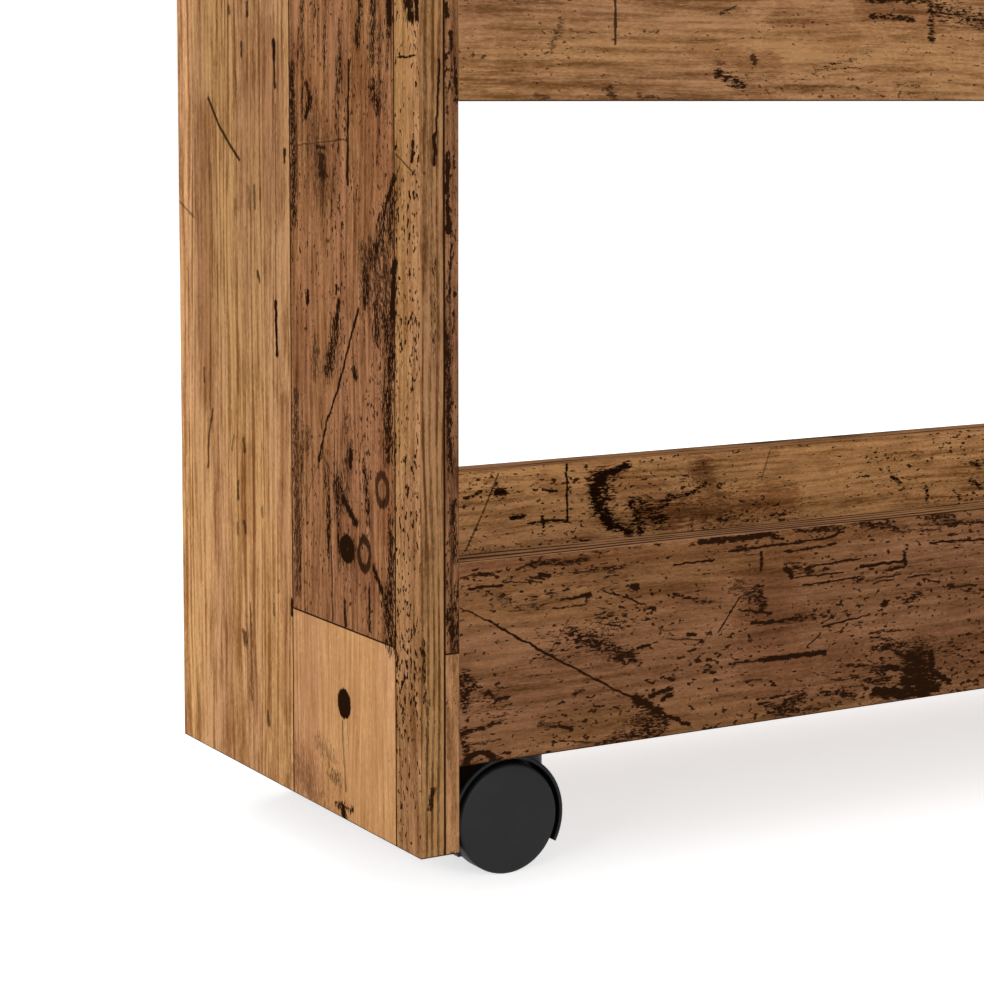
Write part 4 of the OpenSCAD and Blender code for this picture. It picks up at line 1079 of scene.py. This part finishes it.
def make_cam_lock_tree():
    """Cam locks at both ends and both sides of every tier. Lying is 0 for locks that stand in a
    shelf's underside and 1 for locks that lie in the rails and face the tray."""
    tree, b, given = new_group(
        "cam locks",
        sizes("Radius", "Height", "Chamber Radius", "Mouth", "Slot", "Bolt Height", "Recess", "Blade",
              "Recess Depth", "End Place", "Side Place", "Base", "Tier Pitch", "Lying")
        + [("Material", "Material")],
        GEOMETRY, "Geometry")
    radius, height, mouth, slot = (given[name] for name in ("Radius", "Height", "Mouth", "Slot"))
    bolt = given["Bolt Height"]
    lip = b.times(radius, 0.04)
    groove = b.times(radius, 0.8)
    # From the face with its ring groove over the rim, and up the side to the back.
    outline = [(0.0, 0.0), (b.times(radius, 0.74), 0.0), (b.times(radius, 0.77), lip), (groove, lip),
               (b.times(radius, 0.83), 0.0), (b.minus(radius, lip), 0.0), (radius, lip),
               (radius, b.minus(height, lip)), (b.minus(radius, lip), height), (0.0, height)]
    chamber = rod(b, given["Chamber Radius"], mouth, b.join(0.0, 0.0, bolt), 48)
    way_in = rod(b, b.times(mouth, 0.5), radius, b.join(0.0, radius, bolt), 32, (math.pi / 2, 0.0, 0.0))
    sweep = block(b, b.join(radius, b.times(radius, 2.0), slot),
                  b.join(b.times(radius, 0.52), b.minus(radius, b.times(slot, 0.5)), bolt))
    lock = cut_away(b, turned(b, outline, LOCK_FACETS), chamber, way_in, sweep,
                    *cross_recess(b, given["Recess"], given["Blade"], given["Recess Depth"]))
    corners = b.put("GeometryNodeMeshGrid", {
        "Size X": b.times(given["End Place"], 2.0), "Size Y": b.times(given["Side Place"], 2.0),
        "Vertices X": 2, "Vertices Y": 2}).outputs["Mesh"]
    x, y, _ = b.split(b.put("GeometryNodeInputPosition", {}).outputs[0])
    spin = b.times(b.below(x, 0.0), math.pi)
    lying = given["Lying"]
    turn = b.join(b.times(b.times(b.math("SIGN", y), lying), -math.pi / 2), b.times(spin, lying),
                  b.times(spin, b.minus(1.0, lying)))
    tier = copies(b, lock, corners, turn)
    tiers = b.put("GeometryNodeMeshLine", {"Count": 3, "Start Location": b.join(0.0, 0.0, given["Base"]),
                                           "Offset": b.join(0.0, 0.0, given["Tier Pitch"])}).outputs[0]
    close_shape(b, copies(b, tier, tiers, AT_ORIGIN), given["Material"])
    return tree


# Edges sharper than this stay crisp.
CREASE = math.radians(32.0)


def grown(tree, name, values):
    """The plain mesh that a geometry tree makes from its named inputs, with smooth sides and crisp edges."""
    holder = in_scene(name, bpy.data.meshes.new(name))
    maker = holder.modifiers.new("maker", "NODES")
    maker.node_group = tree
    sockets = {item.name: item.identifier for item in tree.interface.items_tree if item.in_out == "INPUT"}
    for key, value in values.items():
        maker[sockets[key]] = value
    depsgraph = bpy.context.evaluated_depsgraph_get()
    mesh = bpy.data.meshes.new_from_object(holder.evaluated_get(depsgraph), depsgraph=depsgraph)
    holder.modifiers.remove(maker)
    bpy.data.objects.remove(holder)
    work = bmesh.new()
    work.from_mesh(mesh)
    bmesh.ops.remove_doubles(work, verts=work.verts, dist=WELD)
    bmesh.ops.recalc_face_normals(work, faces=work.faces)
    for face in work.faces:
        face.smooth = True
    work.to_mesh(mesh)
    work.free()
    mesh.set_sharp_from_angle(angle=CREASE)
    return mesh


CASTORS = ("front_left", "front_right", "back_left", "back_right")
WHEEL_SIZES = {
    "Radius": 20.0 * MM, "Width": 8.5 * MM, "Crown": 1.2 * MM, "Tread": 3.0 * MM, "Wall": 2.2 * MM,
    "Hub Radius": 5.0 * MM, "Bore Radius": 2.55 * MM, "Bore Depth": 7.0 * MM, "Rounding": 1.3 * MM,
    "Spoke Thickness": 1.2 * MM, "Spoke Inset": 2.0 * MM, "Spokes": 6,
}
SCREW_SIZES = {
    "Head Radius": 3.2 * MM, "Head Height": 1.6 * MM, "Root Radius": 1.45 * MM, "Length": 12.0 * MM,
    "Pitch": 1.3 * MM, "Spacing": 27.0 * MM, "Recess": 3.4 * MM, "Blade": 0.8 * MM, "Recess Depth": 1.3 * MM,
}
CAM_LOCK_SIZES = {
    "Radius": 7.5 * MM, "Height": 12.0 * MM, "Chamber Radius": 3.8 * MM, "Mouth": 7.0 * MM, "Slot": 3.8 * MM,
    "Bolt Height": 7.5 * MM, "Recess": 5.2 * MM, "Blade": 1.1 * MM, "Recess Depth": 2.0 * MM,
    "End Place": 231.0 * MM, "Tier Pitch": 225.0 * MM,
}
WHEEL_TREE = make_wheel_tree()
SCREW_TREE = make_screw_tree()
CAM_LOCK_TREE = make_cam_lock_tree()

for castor in CASTORS:
    low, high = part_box(castor + "_castor_housing")
    middle = (low[1] + high[1]) / 2
    for side in ("outer", "inner"):
        node = castor + "_" + side + "_wheel"
        low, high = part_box(node)
        outward = 1.0 if low[1] + high[1] > 2 * middle else -1.0
        centre = ((low[0] + high[0]) / 2, low[1] if outward > 0 else high[1], (low[2] + high[2]) / 2)
        mesh = grown(WHEEL_TREE, node, dict(WHEEL_SIZES, Material=WHEEL_BLACK))
        mesh.transform(Matrix.Translation(centre) @ Matrix.Rotation(-outward * math.pi / 2, 4, "X"))
        add_piece(node + "_moulding", mesh, node, [node])
    node = castor + "_castor_screws"
    low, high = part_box(node)
    mesh = grown(SCREW_TREE, node, dict(SCREW_SIZES, Material=ZINC))
    mesh.transform(Matrix.Translation(((low[0] + high[0]) / 2, (low[1] + high[1]) / 2, low[2])))
    add_piece(castor + "_plate_screws", mesh, "trolley", [node])

# Shelf locks stand at both sides of a shelf's middle, and rail locks lie in the rails' inner faces.
SHELF_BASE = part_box("bottom_shelf")[0][2]
RAIL_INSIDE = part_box("bottom_back_rail")[0][1]
RAIL_LOCK_RISE = 51.0 * MM
LOCK_PLACES = {
    "shelf_cam_locks": {"Side Place": 24.0 * MM, "Base": SHELF_BASE, "Lying": 0.0},
    "rail_cam_locks": {"Side Place": RAIL_INSIDE, "Base": SHELF_BASE + RAIL_LOCK_RISE, "Lying": 1.0},
}
for name, place in LOCK_PLACES.items():
    mesh = grown(CAM_LOCK_TREE, name, {**CAM_LOCK_SIZES, **place, "Material": CAST_ZINC})
    add_piece(name + "_set", mesh, "trolley", [name])

# The CAD pieces that are carried over, by how their names end, and their finishes.
CARRIED_OVER = {
    "shelf_cam_bolts": ZINC, "rail_cam_bolts": ZINC, "shelf_dowels": BEECH, "rail_dowels": BEECH,
    "castor_plate": ZINC, "castor_pin": STEEL, "castor_washer": ZINC, "castor_ring": STEEL,
    "castor_housing": HOOD_BLACK, "castor_axle": STEEL,
}
for node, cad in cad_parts.items():
    for ending, material in CARRIED_OVER.items():
        if node.endswith(ending):
            cad.data.materials.clear()
            cad.data.materials.append(material)

# Floor, light and camera

FLOOR_REACH = 30.0
FLOOR_COLOUR = (0.88, 0.88, 0.88, 1.0)
FLOOR_GLOW = 0.62


def looking_rays(b):
    """1 for rays that look at the backdrop, straight or in metal and glass, and 0 for rays that light."""
    path = b.put("ShaderNodeLightPath", {}).outputs
    return b.either(b.either(path["Is Camera Ray"], path["Is Glossy Ray"]), path["Is Transmission Ray"])


def set_stage():
    work = bmesh.new()
    bmesh.ops.create_grid(work, x_segments=1, y_segments=1, size=FLOOR_REACH)
    mesh = closed_mesh("floor", work)
    in_scene("floor", mesh)
    material, b = new_material("floor")
    lit = b.put("ShaderNodeBsdfDiffuse", {"Color": FLOOR_COLOUR}).outputs[0]
    glow = b.put("ShaderNodeEmission", {"Color": WHITE, "Strength": FLOOR_GLOW}).outputs[0]
    both = b.put("ShaderNodeAddShader", {0: lit, 1: glow}).outputs[0]
    shader = b.put("ShaderNodeMixShader", {0: looking_rays(b), 1: lit, 2: both}).outputs[0]
    b.put("ShaderNodeOutputMaterial", {"Surface": shader})
    mesh.materials.append(material)


WORLD_LIGHT = 0.45
LAMPS_AIM = Vector((0.0, 0.0, 0.28))
LAMPS = [
    # name, place, diameter, power
    ("key", (-2.3, -1.0, 0.8), 1.4, 29.0),
    ("fill", (-0.1, -2.6, 0.6), 1.8, 32.0),
    ("back", (2.0, 2.0, 2.2), 1.8, 36.0),
]


def set_light():
    world = bpy.data.worlds.new("studio")
    bpy.context.scene.world = world
    world.use_nodes = True
    world.node_tree.nodes.clear()
    b = Bench(world.node_tree)
    strength = b.mix(looking_rays(b), WORLD_LIGHT, 1.0, "FLOAT")
    sky = b.put("ShaderNodeBackground", {"Color": WHITE, "Strength": strength}).outputs[0]
    b.put("ShaderNodeOutputWorld", {"Surface": sky})
    for name, place, size, power in LAMPS:
        lamp = bpy.data.lights.new(name, "AREA")
        lamp.shape = "DISK"
        lamp.size = size
        lamp.energy = power
        stand = in_scene(name, lamp)
        stand.location = place
        stand.rotation_euler = (LAMPS_AIM - Vector(place)).to_track_quat("-Z", "Y").to_euler()


def set_camera():
    lens = bpy.data.cameras.new("camera")
    lens.sensor_width = SENSOR_WIDTH
    lens.lens = LENS
    lens.shift_y = SHIFT
    camera = in_scene("camera", lens)
    camera.location = EYE
    camera.rotation_euler = (math.radians(90.0 - EYE_TILT), 0.0, math.radians(-EYE_TURN))
    bpy.context.scene.camera = camera


set_stage()
set_light()
set_camera()
bpy.context.scene.view_settings.view_transform = "Standard"
